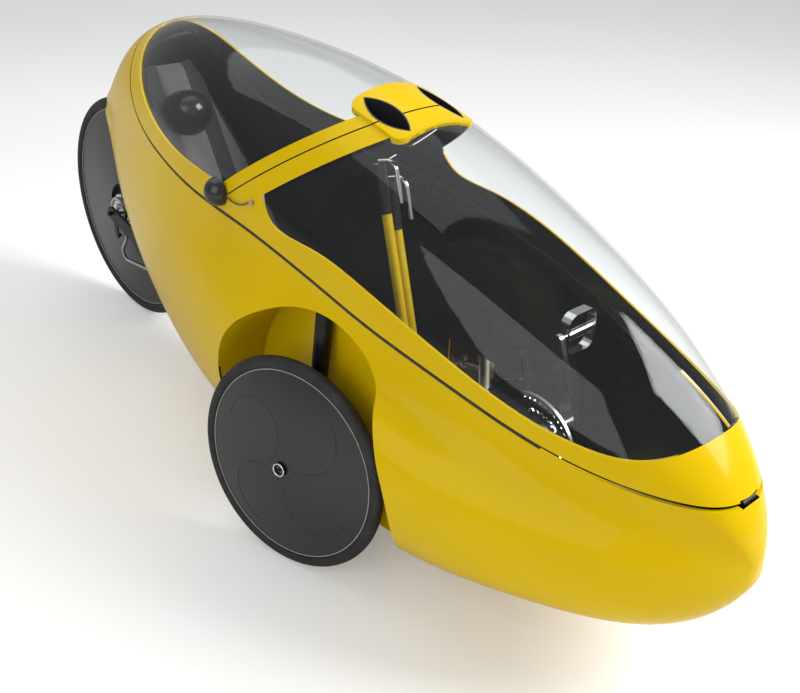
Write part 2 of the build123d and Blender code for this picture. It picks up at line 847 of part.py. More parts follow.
with BuildPart() as subframe:
    add(upright_box(frame_back, frame_front, -subframe_spine_half, subframe_spine_half,
                    frame_low, frame_low + subframe_height))
    for low_y in (-lower_arm_inner, lower_arm_inner - subframe_side_width):
        add(upright_box(frame_back, frame_front, low_y, low_y + subframe_side_width,
                        frame_low, frame_low + subframe_height))
    add(upright_box(frame_front - subframe_width, frame_front, -lower_arm_inner, lower_arm_inner,
                    frame_low, frame_low + front_plate_thickness))
    add(upright_box(frame_back, frame_back + subframe_width, -lower_arm_inner, lower_arm_inner,
                    arm_height - rear_plate_thickness / 2, arm_height + rear_plate_thickness / 2))
    add(upright_box(frame_back - overrun, frame_back + subframe_width + overrun,
                    -chain_line - chain_slot_half,
                    -chain_line + chain_slot_half, arm_height - rear_plate_thickness,
                    arm_height + rear_plate_thickness), mode=Mode.SUBTRACT)
    for low_y in (-lower_arm_inner, lower_arm_inner - subframe_foot):
        for foot_back in (frame_back, frame_front - subframe_foot):
            add(upright_box(foot_back, foot_back + subframe_foot, low_y, low_y + subframe_foot, 0,
                            arm_height)
                & inner_hull)
    add(tube(boom_foot, bracket, boom_radius))
    add(across_tube(bracket, -bracket_shell_half, bracket_shell_half, bracket_shell_radius))
    add(tube(column_foot - column_up * column_base_length, column_foot - column_up * running_clearance,
             column_base_radius))
    add(tube(column_foot - column_up * 2 * column_base_length, column_foot + column_up * overrun,
             stub_radius + shaft_clearance), mode=Mode.SUBTRACT)
    add(across_tube(bracket, -2 * bracket_shell_half, 2 * bracket_shell_half,
                    spindle_radius + shaft_clearance),
        mode=Mode.SUBTRACT)
finish("subframe", subframe.part)


def lower_arm(side):
    """A wishbone from the ball joint under a knuckle to the side of the subframe."""
    pin, kingpin, centre, axle, forward = wheel_frame(side)
    joint_top = pin - kingpin * (post_below + running_clearance)
    joint_base = joint_top - kingpin * ball_joint_height
    arm_outer = (joint_top + joint_base) / 2
    arm_inner = Vector(front_axle_x, side * (lower_arm_inner - lower_arm_radius), arm_outer.Z)
    with BuildPart() as wishbone:
        add(tube(joint_base, joint_top, ball_joint_radius))
        for spread in (-lower_arm_spread, lower_arm_spread):
            add(tube(arm_outer, arm_inner + Vector(spread, 0, 0), lower_arm_radius))
        add(subframe.part, mode=Mode.SUBTRACT)
    return wishbone.part


with BuildPart() as lower_arms:
    for side, name in side_names:
        add(lower_arm(side))
finish("lower_arms", lower_arms.part)

# Steering column with its pitman arm, grips and brake levers
column_back = Vector(-math.cos(column_tilt), 0, -math.sin(column_tilt)).rotate(
    Axis((0, 0, 0), column_up), parked_steer)
column_side = column_up.cross(column_back)
pitman_root = column_foot + column_up * pitman_height
pitman_tip = pitman_root + column_back * steer_arm_length
column_start = column_foot + column_up * (pitman_height + eye_thickness)
pair_offset = column_radius + column_pair_gap / 2
left_foot = column_start - column_side * pair_offset
right_foot = column_start + column_side * pair_offset
eye_level = (frames["left"][0] + frames["left"][1] * eye_height).Z
with BuildPart() as steering_column:
    add(tube(column_foot, column_start + column_up * 2 * column_radius, column_base_radius - pane_gap))
    add(tube(left_foot, left_foot + column_up * column_left_length, column_radius))
    add(tube(right_foot, right_foot + column_up * column_right_length, column_radius))
    add(tube(pitman_root, pitman_tip, steer_arm_radius))
    add(tube(pitman_tip - upward * eye_thickness, pitman_tip + upward * eye_thickness, eye_outer_radius))
    add(tube(pitman_tip, Vector(pitman_tip.X, pitman_tip.Y, eye_level + rod_step + eye_thickness),
             link_pin_radius))
    add(tube(column_foot - column_up * column_base_length, column_foot, stub_radius))
finish("steering_column", steering_column.part)
with BuildPart() as handgrips:
    for foot, reach in ((left_foot, column_left_length), (right_foot, column_right_length)):
        top = foot + column_up * reach
        add(tube(top, top + column_up * grip_length, grip_radius))
finish("handgrips", handgrips.part)


def brake_lever(top, ahead):
    """A bent lever from the top of a grip, forward and down in front of it."""
    start = top + column_up * lever_radius
    corner = start + ahead * lever_reach
    with BuildPart() as lever:
        with BuildLine():
            FilletPolyline(start, corner, corner - column_up * lever_drop, radius=lever_reach / 2)
        with BuildSketch(Plane(start, z_dir=ahead)):
            Circle(lever_radius)
        sweep()
    return lever.part


with BuildPart() as brake_levers:
    for foot, reach in ((left_foot, column_left_length), (right_foot, column_right_length)):
        add(brake_lever(foot + column_up * (reach + grip_length), -column_back))
finish("brake_levers", brake_levers.part)

# Tie rods from the knuckles to the pitman arm
for side, name in side_names:
    pin, kingpin, centre, axle, forward = frames[name]
    eye_centre = pin + kingpin * eye_height - forward * steer_arm_length
    inner_eye = Vector(pitman_tip.X, pitman_tip.Y, eye_level + side * rod_step)
    run = (inner_eye - eye_centre).normalized()
    half_eye = eye_thickness / 2
    with BuildPart() as tie_rod:
        add(tube(eye_centre + run * link_pin_radius, inner_eye - run * open_eye_radius, tie_rod_radius))
        add(tube(eye_centre - kingpin * half_eye, eye_centre + kingpin * half_eye, eye_outer_radius))
        add(tube(inner_eye - upward * half_eye, inner_eye + upward * half_eye, open_eye_outer_radius))
        add(tube(eye_centre - kingpin * eye_thickness, eye_centre + kingpin * eye_thickness,
                 link_pin_radius + shaft_clearance), mode=Mode.SUBTRACT)
        add(tube(inner_eye - upward * eye_thickness, inner_eye + upward * eye_thickness, open_eye_radius),
            mode=Mode.SUBTRACT)
    finish(f"tie_rod_{name}", tie_rod.part)


# Crankset: two toothed rings on a five-armed spider, both arms and the spindle
def ring_radius(teeth):
    return teeth * tooth_pitch / (2 * math.pi)


def toothed_ring(teeth, centre, middle_y, bore, thickness):
    """A chainring or sprocket with tapered teeth, its tips on the pitch circle."""
    tip = ring_radius(teeth)
    root = tip - tooth_depth
    step = 2 * math.pi / teeth
    points = []
    for index in range(teeth):
        for turn, radius in ((0, root), (step / 4, root), (step / 2, tip), (step * 3 / 4, tip)):
            angle = index * step + turn
            points.append((radius * math.cos(angle), radius * math.sin(angle)))
    with BuildPart() as ring:
        with BuildSketch(Plane(centre + across * middle_y, x_dir=(1, 0, 0), z_dir=(0, -1, 0))):
            with BuildLine():
                Polyline(*points, close=True)
            make_face()
            Circle(bore, mode=Mode.SUBTRACT)
        extrude(amount=thickness / 2, both=True)
    return ring.part


def crank_arm(start, end, inner_y, outer_y):
    """A tapered arm in side view between two centres, from one Y to another."""
    with BuildPart() as arm:
        with BuildSketch(Plane.XZ.offset(-inner_y)):
            with Locations((start.X, start.Z)):
                Circle(crank_big_radius)
            with Locations((end.X, end.Z)):
                Circle(crank_small_radius)
            make_hull()
        extrude(amount=inner_y - outer_y)
    return arm.part


crank_turn = math.radians(crank_angle)
crank_reach = Vector(math.cos(crank_turn), 0, math.sin(crank_turn)) * crank_length
ring_plane_y = -chain_line - ring_thickness / 2
with BuildPart() as crankset:
    for teeth, middle in ((outer_ring_teeth, -chain_line), (inner_ring_teeth, -chain_line + ring_spacing)):
        add(toothed_ring(teeth, bracket, middle, ring_radius(teeth) - tooth_depth - ring_band,
                         ring_thickness))
    with BuildSketch(Plane.XZ.offset(-ring_plane_y)):
        with Locations((bracket.X, bracket.Z)):
            Circle(crank_big_radius + ring_band)
            with PolarLocations(0, spider_arms, start_angle=crank_angle):
                Rectangle(ring_radius(outer_ring_teeth) - tooth_depth - ring_band / 2, spider_arm_width,
                          align=(Align.MIN, Align.CENTER))
    extrude(amount=-ring_spacing - ring_thickness)
    add(across_tube(bracket, -crank_inner_half, crank_inner_half, spindle_radius))
    add(across_tube(bracket, -crank_inner_half, -chain_line, crank_big_radius))
    for side, name in side_names:
        end = bracket + crank_reach * side
        add(crank_arm(bracket, end, side * crank_inner_half, side * (crank_inner_half + crank_thickness)))
        add(tube(end, end + across * side * 2 * crank_inner_half, pedal_spindle_radius + shaft_clearance),
            mode=Mode.SUBTRACT)
finish("crankset", crankset.part)

for side, name in side_names:
    end = bracket + crank_reach * side
    outward = across * side
    body_start = end + outward * (crank_inner_half + crank_thickness + pedal_gap)
    body_end = body_start + outward * pedal_width
    middle = (body_start + body_end) / 2
    with BuildPart() as pedal:
        with BuildSketch(Plane(middle - Vector(pedal_thickness / 2, 0, 0), x_dir=(0, 1, 0),
                               z_dir=(1, 0, 0))):
            RectangleRounded(pedal_width, pedal_length, pedal_corner)
            RectangleRounded(pedal_width - 2 * pedal_wall, pedal_length - 2 * pedal_wall,
                             pedal_corner - pedal_wall, mode=Mode.SUBTRACT)
        extrude(amount=pedal_thickness)
        add(tube(end + outward * crank_inner_half, body_end - outward * pedal_wall / 2,
                 pedal_spindle_radius))
        add(tube(body_start, body_end, pedal_body_radius))
    finish(f"pedal_{name}", pedal.part)


# Front derailleur: a cage over the outer ring, held on a post from the boom
def ring_point(turn, radius, y):
    """A point off the bracket, turned back from straight up."""
    angle = math.radians(turn)
    return bracket + Vector(-math.sin(angle) * radius, y, math.cos(angle) * radius)


post_foot = Vector(front_axle_x + post_foot_ahead, -derailleur_post_radius, post_foot_height)
post_top = Vector(front_axle_x + post_top_ahead, -derailleur_post_radius, post_top_height)
cage_outline = [
    (ring_point(turn, radius, 0).X, ring_point(turn, radius, 0).Z)
    for turn, radius in (
        (cage_low_turn, cage_low_radius), (cage_middle_turn, cage_low_radius),
        (cage_high_turn, cage_low_radius), (cage_high_turn, cage_high_radius),
        (cage_middle_turn, cage_high_radius), (cage_low_turn, cage_high_radius),
    )
]
cage_inner_y = -chain_line + cage_gap / 2
cage_outer_y = -chain_line - cage_gap / 2
bolt_place = ring_point(cage_low_turn + cage_bolt_radius, cage_high_radius - 2 * cage_bolt_radius, 0)
body_place = ring_point(cage_middle_turn, cage_high_radius - 2 * derailleur_link_radius, cage_inner_y)
with BuildPart() as front_derailleur:
    add(tube(post_foot, post_top, derailleur_post_radius))
    add(side_plate(cage_outline, cage_inner_y, cage_inner_y + cage_thickness))
    add(side_plate(cage_outline, cage_outer_y - cage_thickness, cage_outer_y))
    add(tube(bolt_place + across * cage_outer_y, bolt_place + across * cage_inner_y, cage_bolt_radius))
    join_share = (body_place.Z - post_foot.Z) / (post_top.Z - post_foot.Z)
    post_join = post_foot + (post_top - post_foot) * join_share
    post_run = (post_top - post_foot).normalized()
    add(tube(body_place + across * cage_thickness / 2, post_join, derailleur_link_radius))
    add(tube(post_join - post_run * derailleur_clamp_half, post_join + post_run * derailleur_clamp_half,
             derailleur_clamp_radius))
finish("front_derailleur", front_derailleur.part - subframe.part)

# Chain: one closed loop of straight runs and bends, and the guide tubes round its runs
rear_axle = Vector(rear_axle_x, 0, rear_wheel_radius)
lower_pulley = rear_axle + Vector(lower_pulley_ahead, 0, -lower_pulley_drop)
upper_pulley = rear_axle + Vector(upper_pulley_ahead, 0, -upper_pulley_drop)
chain_lift = chain_clearance + chain_half_height
front_bend_x = front_axle_x + front_bend_ahead
drive_bend_x = front_axle_x + drive_bend_ahead
rear_bend_x = front_axle_x + rear_bend_ahead
drive_gear = cluster_teeth[1]
# Each turn of the loop: centre, signed radius (positive where the chain turns clockwise seen from the right)
chain_turns = (
    (bracket, ring_radius(outer_ring_teeth) + chain_lift),
    (Vector(front_bend_x, 0, return_run_height + chain_bend_radius), chain_bend_radius),
    (Vector(rear_bend_x, 0, return_run_height + chain_bend_radius), chain_bend_radius),
    (Vector(swing_pivot_x, 0, return_lift_height - chain_bend_radius), -chain_bend_radius),
    (lower_pulley, pulley_radius + chain_lift),
    (upper_pulley, -pulley_radius - chain_lift),
    (rear_axle, ring_radius(drive_gear) + chain_lift),
    (Vector(rear_bend_x, 0, drive_run_height + chain_bend_radius), -chain_bend_radius),
    (Vector(drive_bend_x, 0, drive_run_height + chain_bend_radius), -chain_bend_radius),
)


def chain_face(plane, shift):
    """The loop's outline in side view, moved outwards by the shift."""
    turns = [(centre, radius + shift) for centre, radius in chain_turns]
    ends = []
    for (start, start_radius), (stop, stop_radius) in zip(turns, turns[1:] + turns[:1]):
        gap = stop - start
        step = start_radius - stop_radius
        heading = math.atan2(gap.Z, gap.X) - math.asin(step / gap.length)
        normal = (-math.sin(heading), math.cos(heading))
        ends.append((
            (start.X + normal[0] * start_radius, start.Z + normal[1] * start_radius),
            (stop.X + normal[0] * stop_radius, stop.Z + normal[1] * stop_radius),
            (math.cos(heading), math.sin(heading)),
        ))
    with BuildSketch(plane) as outline:
        with BuildLine():
            for index, (start, stop, heading) in enumerate(ends):
                Line(start, stop)
                TangentArc(stop, ends[(index + 1) % len(ends)][0], tangent=heading)
        make_face()
    return outline.sketch


chain_plane = Plane.XZ.offset(chain_line - chain_width / 2)
with BuildPart() as chain:
    extrude(chain_face(chain_plane, chain_half_height), amount=chain_width, dir=(0, -1, 0))
    extrude(chain_face(chain_plane, -chain_half_height), amount=chain_width, dir=(0, -1, 0),
            mode=Mode.SUBTRACT)
finish("chain", chain.part)
guide_outer = guide_bore + guide_wall
with BuildPart() as chain_guides:
    for height in (drive_run_height, return_run_height):
        add(tube(Vector(rear_bend_x, -chain_line, height), Vector(front_bend_x, -chain_line, height),
                 guide_outer, guide_bore))
    for place in (rear_bend_x + guide_clip_inset, front_bend_x - guide_clip_inset):
        clip = upright_box(place, place + guide_clip_length, -chain_line - guide_wall,
                           -chain_line + guide_wall,
                           0, drive_run_height) & inner_hull
        add(clip)
    for height in (drive_run_height, return_run_height):
        add(tube(Vector(rear_bend_x, -chain_line, height), Vector(front_bend_x, -chain_line, height),
                 guide_bore),
            mode=Mode.SUBTRACT)
finish("chain_guides", chain_guides.part)

# Rear cluster of sprockets, on the wheel's hub
with BuildPart() as rear_cluster:
    drive_place = cluster_teeth.index(drive_gear)
    for place, teeth in enumerate(cluster_teeth):
        add(toothed_ring(teeth, rear_axle, -chain_line + (place - drive_place) * cluster_spacing,
                         rear_shaft_radius + shaft_clearance, sprocket_thickness))
    cluster_inner_y = -chain_line + (len(cluster_teeth) - drive_place) * cluster_spacing - sprocket_thickness
    cluster_outer_y = -chain_line - (drive_place + 1) * cluster_spacing + 2 * sprocket_thickness
    add(across_tube(rear_axle, cluster_outer_y, cluster_inner_y, cluster_body_radius,
                    rear_shaft_radius + shaft_clearance))
finish("rear_cluster", rear_cluster.part)

# Rear derailleur: two pulleys in a cage, hung from the right swing blade
with BuildPart() as rear_derailleur:
    plate_inner = -chain_line + pulley_plate_gap / 2
    plate_outer = -chain_line - pulley_plate_gap / 2
    for centre in (upper_pulley, lower_pulley):
        add(across_tube(centre, -chain_line - pulley_thickness / 2, -chain_line + pulley_thickness / 2,
                        pulley_radius))
        add(across_tube(centre, plate_outer, plate_inner, link_pin_radius))
    for low in (plate_inner, plate_outer - pulley_plate_thickness):
        with BuildSketch(Plane.XZ.offset(-low)):
            with Locations((upper_pulley.X, upper_pulley.Z), (lower_pulley.X, lower_pulley.Z)):
                Circle(pulley_radius - pulley_plate_edge)
            make_hull()
        extrude(amount=-pulley_plate_thickness)
    hanger_outer = running_clearance - swing_blade_inner
    with BuildSketch(Plane.XZ.offset(-hanger_outer)):
        with Locations((upper_pulley.X, upper_pulley.Z), (rear_axle.X, rear_axle.Z)):
            Circle(hanger_radius)
        make_hull()
    extrude(amount=-hanger_thickness)
    add(across_tube(upper_pulley, hanger_outer, plate_outer, link_pin_radius))
    add(across_tube(rear_axle, hanger_outer - overrun, plate_outer, rear_shaft_radius + running_clearance),
        mode=Mode.SUBTRACT)
finish("rear_derailleur", rear_derailleur.part)

# Rear wheel
rear_plane = wheel_plane(rear_axle, across, Vector(1, 0, 0))
finish("rear_tyre", tyre_ring(
    rear_plane, rear_wheel_radius, rear_tyre_radius, rear_rim_radius, rear_rim_half_width))
finish("rear_rim", rim_ring(rear_plane, rear_rim_radius, rear_rim_depth, rear_rim_half_width))
rear_disc_radius = rear_rim_radius - rear_rim_depth
recess_share = (rear_recess_radius - rear_hub_radius) / (rear_disc_radius - rear_hub_radius)
recess_width = rear_cover_crown + (rear_cover_edge - rear_cover_crown) * recess_share
finish("rear_cover", turned(rear_plane, (
    (rear_hub_radius, rear_recess_depth - recess_width),
    (rear_recess_radius, rear_recess_depth - recess_width),
    (rear_recess_radius, -recess_width), (rear_disc_radius, -rear_cover_edge),
    (rear_disc_radius, rear_cover_edge), (rear_hub_radius, rear_cover_crown),
)))
with BuildPart() as rear_hub:
    add(across_tube(rear_axle, cluster_inner_y, rear_hub_half, rear_hub_radius,
                    rear_shaft_radius + shaft_clearance))
finish("rear_hub", rear_hub.part)

# Swing arm: two blades joined at the pivot, carrying the axle
swing_pivot = Vector(swing_pivot_x, 0, swing_pivot_height)
blade_outer = swing_blade_inner + swing_blade_thickness
damper_low = Vector(damper_low_x, 0, damper_low_height)
damper_high = Vector(damper_high_x, 0, damper_high_height)
with BuildPart() as swing_arm:
    for inner in (swing_blade_inner, -blade_outer):
        with BuildSketch(Plane.XZ.offset(-inner)):
            with Locations((swing_pivot.X, swing_pivot.Z), (rear_axle.X, rear_axle.Z)):
                Circle(swing_boss_radius)
            make_hull()
        extrude(amount=-swing_blade_thickness)
    add(across_tube(swing_pivot, -blade_outer, blade_outer, swing_tube_radius))
    add(across_tube(rear_axle, -rear_axle_half, rear_axle_half, rear_shaft_radius))
    for low in (damper_eye_half + pane_gap, -damper_eye_half - pane_gap - damper_lug_thickness):
        with BuildSketch(Plane.XZ.offset(-low)):
            with Locations((swing_pivot.X, swing_pivot.Z), (damper_high.X, damper_high.Z)):
                Circle(damper_eye_radius)
            make_hull()
        extrude(amount=-damper_lug_thickness)
    add(across_tube(damper_high, -damper_eye_half - damper_lug_thickness,
                    damper_eye_half + damper_lug_thickness,
                    damper_pin_radius))
finish("swing_arm", swing_arm.part)
with BuildPart() as swing_bracket:
    bracket_back = swing_pivot.X - swing_boss_radius
    bracket_front = damper_low.X + bracket_length / 2
    for low in (bracket_plate_inner, -bracket_plate_inner - bracket_plate_thickness):
        add(side_plate(
            ((bracket_back, swing_pivot.Z - swing_boss_radius),
             (bracket_back, swing_pivot.Z + swing_boss_radius),
             (swing_pivot.X + swing_boss_radius, swing_pivot.Z + swing_boss_radius),
             (bracket_front, damper_low.Z - bracket_length), (bracket_front, 0), (bracket_back, 0)),
            low, low + bracket_plate_thickness) & inner_hull)
    for low in (damper_eye_half + pane_gap, -damper_eye_half - pane_gap - damper_lug_thickness):
        add(side_plate(
            ((damper_low.X - bracket_length / 2, 0), (damper_low.X - damper_eye_radius,
                                                      damper_low.Z + damper_eye_radius),
             (damper_low.X + damper_eye_radius, damper_low.Z + damper_eye_radius), (bracket_front, 0)),
            low, low + damper_lug_thickness) & inner_hull)
    add(upright_box(swing_pivot.X + swing_boss_radius, bracket_front, -bracket_plate_inner,
                    bracket_plate_inner,
                    0, damper_low.Z - bracket_plate_inner) & inner_hull)
    add(across_tube(damper_low, -damper_eye_half - damper_lug_thickness,
                    damper_eye_half + damper_lug_thickness,
                    damper_pin_radius))
    add(across_tube(swing_pivot, -blade_outer, blade_outer, swing_tube_radius + pane_gap),
        mode=Mode.SUBTRACT)
finish("swing_bracket", swing_bracket.part)
damper_run = (damper_high - damper_low).normalized()
with BuildPart() as damper:
    damper_middle = (damper_low + damper_high) / 2
    add(tube(damper_low, damper_high, damper_rod_radius))
    add(tube(damper_low + damper_run * 2 * damper_eye_radius,
             damper_high - damper_run * 2 * damper_eye_radius,
             damper_radius))
    for eye in (damper_low, damper_high):
        add(across_tube(eye, -damper_eye_half, damper_eye_half, damper_eye_radius))
        add(across_tube(eye, -2 * damper_eye_half, 2 * damper_eye_half, damper_pin_radius + shaft_clearance),
            mode=Mode.SUBTRACT)
finish("damper", damper.part)

# Housing over the rear wheel, between its slot in the tub's floor and the tail
housing_outer = rear_wheel_radius + rear_slot_clearance
housing_half = rear_slot_half_width - pane_gap
housing_begin = math.radians(housing_start)
housing_end = math.radians(housing_start + housing_sweep)


def housing_corner(turn, rings):
    """A point in side view off the rear axle, past the housing."""
    reach = 2 * rings * housing_outer
    return (rear_axle.X + reach * math.cos(turn), rear_axle.Z + reach * math.sin(turn))


with BuildPart() as rear_wheel_housing:
    with BuildSketch(Plane.XZ):
        with Locations((rear_axle.X, rear_axle.Z)):
            Circle(housing_outer)
            Circle(housing_outer - housing_side_depth, mode=Mode.SUBTRACT)
    extrude(amount=housing_half, both=True)
    foot_back = swing_pivot.X + swing_boss_radius - housing_foot_length
    foot_top = swing_pivot.Z - swing_tube_radius - moving_clearance
    add(upright_box(foot_back, foot_back + housing_foot_length, fit_clearance - bracket_plate_inner,
                    bracket_plate_inner - fit_clearance, foot_top - 2 * housing_foot_height, foot_top))
    step_front = swing_pivot.X - damper_eye_radius - moving_clearance
    add(upright_box(foot_back, step_front, fit_clearance - bracket_plate_inner,
                    bracket_plate_inner - fit_clearance, foot_top - 2 * housing_foot_height,
                    foot_top + 2 * housing_foot_height))
    with BuildSketch(Plane.XZ):
        with Locations((rear_axle.X, rear_axle.Z)):
            Circle(housing_outer - housing_wall)
    extrude(amount=housing_half - housing_wall, both=True, mode=Mode.SUBTRACT)
    with BuildSketch(Plane.XZ):
        with BuildLine():
            Polyline(
                (rear_axle.X, rear_axle.Z), housing_corner(housing_begin, 1), housing_corner(housing_begin,
                                                                                             2),
                housing_corner(housing_end, 2), housing_corner(housing_end, 1), close=True,
            )
        make_face()
    extrude(amount=hull_half_width, both=True, mode=Mode.INTERSECT)
    add(inner_hull, mode=Mode.INTERSECT)
finish("rear_wheel_housing", rear_wheel_housing.part - swing_bracket.part)


# Seat: a bent shell on two rails, its pad and the harness straps on it
seat_curve_points = [(front_axle_x + ahead, height) for ahead, height in seat_points]


def seat_strip(amount):
    """The region in side view between the seat's curve and a line at a distance in front of it."""
    with BuildSketch(Plane.XZ) as strip:
        with BuildLine():
            FilletPolyline(*seat_curve_points, radius=seat_bend_radius)
            offset(amount=abs(amount), side=Side.RIGHT if amount > 0 else Side.LEFT)
        make_face()
    return strip.sketch


def seat_layer(low, high, margin):
    """A layer along the seat, between two distances off its curve and inside its front outline."""
    with BuildPart() as layer:
        extrude(seat_strip(high), amount=hull_half_width, both=True)
        if low:
            extrude(seat_strip(low), amount=hull_half_width, both=True, mode=Mode.SUBTRACT)
        with BuildSketch(Plane.YZ.offset(-nose_x)):
            with BuildLine():
                Polyline(*[(half - margin, height) for half, height in seat_outline],
                         *[(margin - half, height) for half, height in reversed(seat_outline)], close=True)
            make_face()
        extrude(amount=overall_length, mode=Mode.INTERSECT)
    return layer.part


pad_face = pane_gap + seat_pad_thickness
with BuildPart() as seat_shell:
    add(seat_layer(0, -seat_shell_thickness, 0))
    for inner in (seat_rail_offset, -seat_rail_offset - seat_rail_thickness):
        with BuildSketch(Plane.XZ.offset(-inner)):
            with BuildLine():
                FilletPolyline(*seat_curve_points, radius=seat_bend_radius)
                Polyline(seat_curve_points[-1], (seat_curve_points[-1][0], 0), (seat_curve_points[0][0], 0),
                         seat_curve_points[0])
            make_face()
            with Locations((front_axle_x + seat_rail_start, 0)):
                Rectangle(seat_rail_length, hull_height, align=(Align.MAX, Align.MIN), mode=Mode.INTERSECT)
        extrude(amount=-seat_rail_thickness)
finish("seat_shell", seat_shell.part & inner_hull)
finish("seat_pad", seat_layer(pane_gap, pad_face, seat_pad_margin) & inner_hull)
with BuildPart() as harness_straps:
    strap_layer = seat_layer(pad_face + pane_gap, pad_face + pane_gap + strap_thickness, seat_pad_margin)
    for low_y in (strap_offset - strap_width / 2, -strap_offset - strap_width / 2):
        add(strap_layer & upright_box(-nose_x, nose_x, low_y, low_y + strap_width, strap_low_height,
                                      hull_height))
finish("harness_straps", harness_straps.part & inner_hull)

# Lanyards from the lift knobs to the pins
with BuildPart() as lanyards:
    for side, name in side_names:
        lanyard_y = side * (knob_base + lanyard_out)
        near = Vector(knob_place.X + knob_radius + lanyard_radius, lanyard_y, knob_place.Z)
        far = Vector(pin_place.X - pin_radius - lanyard_radius, lanyard_y, pin_place.Z)
        low = (near + far) / 2 - upward * lanyard_sag
        with BuildLine():
            ThreePointArc(near, low, far)
        with BuildSketch(Plane(near, z_dir=low - near)):
            Circle(lanyard_radius)
        sweep()
finish("lanyards", lanyards.part)
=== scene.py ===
import json
import math

import bmesh
import bpy
from bpy.props import FloatProperty, FloatVectorProperty, IntProperty, PointerProperty
from mathutils import Matrix, Vector
from mathutils.bvhtree import BVHTree
from mathutils.geometry import intersect_point_line


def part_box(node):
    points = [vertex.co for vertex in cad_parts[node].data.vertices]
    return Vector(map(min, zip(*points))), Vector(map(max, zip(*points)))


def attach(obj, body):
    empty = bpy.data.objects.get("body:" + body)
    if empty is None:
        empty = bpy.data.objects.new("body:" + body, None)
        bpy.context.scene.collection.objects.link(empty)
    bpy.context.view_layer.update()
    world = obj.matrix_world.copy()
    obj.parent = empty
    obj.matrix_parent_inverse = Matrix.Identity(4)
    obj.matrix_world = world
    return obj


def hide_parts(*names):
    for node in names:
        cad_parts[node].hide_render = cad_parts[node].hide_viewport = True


bl_info = {
    "name": "Velomobile dressing",
    "version": (1, 0, 0),
    "blender": (4, 5, 0),
    "location": "3D View > Sidebar > Velomobile",
    "description": "Finishes and fine pieces of a three-wheeled pedal car with a clear canopy",
    "category": "Object",
}

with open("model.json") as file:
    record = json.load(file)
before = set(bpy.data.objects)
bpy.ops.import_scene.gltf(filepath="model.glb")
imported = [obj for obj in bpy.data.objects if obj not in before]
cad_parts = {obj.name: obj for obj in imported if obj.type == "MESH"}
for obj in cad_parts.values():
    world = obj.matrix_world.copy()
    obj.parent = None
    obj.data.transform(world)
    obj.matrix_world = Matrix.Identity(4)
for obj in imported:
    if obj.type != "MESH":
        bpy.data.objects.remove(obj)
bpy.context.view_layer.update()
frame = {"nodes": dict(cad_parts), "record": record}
record = frame["record"]
body_of_node = {
    node: body for body, nodes in record["behaviour"]["bodies"].items() for node in nodes
}
joints = {joint["name"]: joint for joint in record["behaviour"]["joints"]}
slot_of_node = {row["node"]: row["material_slot"] for row in record["subparts"]}
duct_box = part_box("air_ducts")
strap_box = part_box("harness_straps")

# A face turned less than this share towards the outside is an inner face or a cut edge
SKIN_LIMIT = 0.4
PAD_SKIN_LIMIT = -0.2
PAD_MARGIN = 0.05

# The tub's rim: its lowest height, how far its faces turn, and its distance from the nose hinge
RIM_LOW = 0.44
RIM_UP = 0.3
RIM_FORWARD = 0.5
RIM_SIDEWAYS = 0.4
RIM_OUTWARD = 0.6
TAIL_X = -0.5
HINGE_CLEARANCE = 0.10

# Middle line of the hull from tail to nose
SPINE = (Vector((-0.70, 0, 0.66)), Vector((0.0, 0, 0.52)), Vector((0.90, 0, 0.34)))


def joint_place(name):
    return Vector(joints[name]["pos_m"])


def joint_axis(name):
    return Vector(joints[name]["axis"]).normalized()


class VelomobileColours(bpy.types.PropertyGroup):
    """Colours of the shell, the seat and the stage"""

    shell: FloatVectorProperty(
        name="Shell", description="Yellow of the moulded shell", subtype="COLOR", size=3,
        default=(0.70, 0.480, 0.0006), min=0, max=1,
    )
    shell_deep: FloatVectorProperty(
        name="Shell depth", description="Deeper yellow that clouds the shell", subtype="COLOR", size=3,
        default=(0.66, 0.440, 0.0006), min=0, max=1,
    )
    felt: FloatVectorProperty(
        name="Seat felt", description="Grey of the seat pad", subtype="COLOR", size=3,
        default=(0.165, 0.152, 0.158), min=0, max=1,
    )
    webbing: FloatVectorProperty(
        name="Webbing", description="Colour of the harness", subtype="COLOR", size=3,
        default=(0.016, 0.016, 0.018), min=0, max=1,
    )
    rim_line: FloatVectorProperty(
        name="Rim line", description="Colour of the thin line round each wheel cover",
        subtype="COLOR", size=3,
        default=(0.34, 0.34, 0.34), min=0, max=1,
    )
    floor: FloatVectorProperty(
        name="Floor", description="Colour of the studio floor", subtype="COLOR", size=3,
        default=(0.80, 0.80, 0.80), min=0, max=1,
    )


class VelomobileSizes(bpy.types.PropertyGroup):
    """Sizes of the fine pieces"""

    front_line_radius: FloatProperty(
        name="Front line radius", description="Radius of the line round a front wheel cover", unit="LENGTH",
        default=0.2075, min=0.05,
    )
    rear_line_radius: FloatProperty(
        name="Rear line radius", description="Radius of the line round the rear wheel cover", unit="LENGTH",
        default=0.2925, min=0.05,
    )
    line_thickness: FloatProperty(
        name="Line thickness", description="Half width of the rim line", unit="LENGTH",
        default=0.0012, min=0.0002,
    )
    cushion_cell: FloatProperty(
        name="Cushion cell", description="Mesh size of the padded seat", unit="LENGTH",
        default=0.006, min=0.003,
    )
    cushion_frames: IntProperty(
        name="Cushion frames", description="Frames of the cloth simulation", default=20, min=1,
    )
    camera_lens: FloatProperty(
        name="Lens", description="Focal length of the photograph's camera in millimetres",
        default=45.954, min=10,
    )


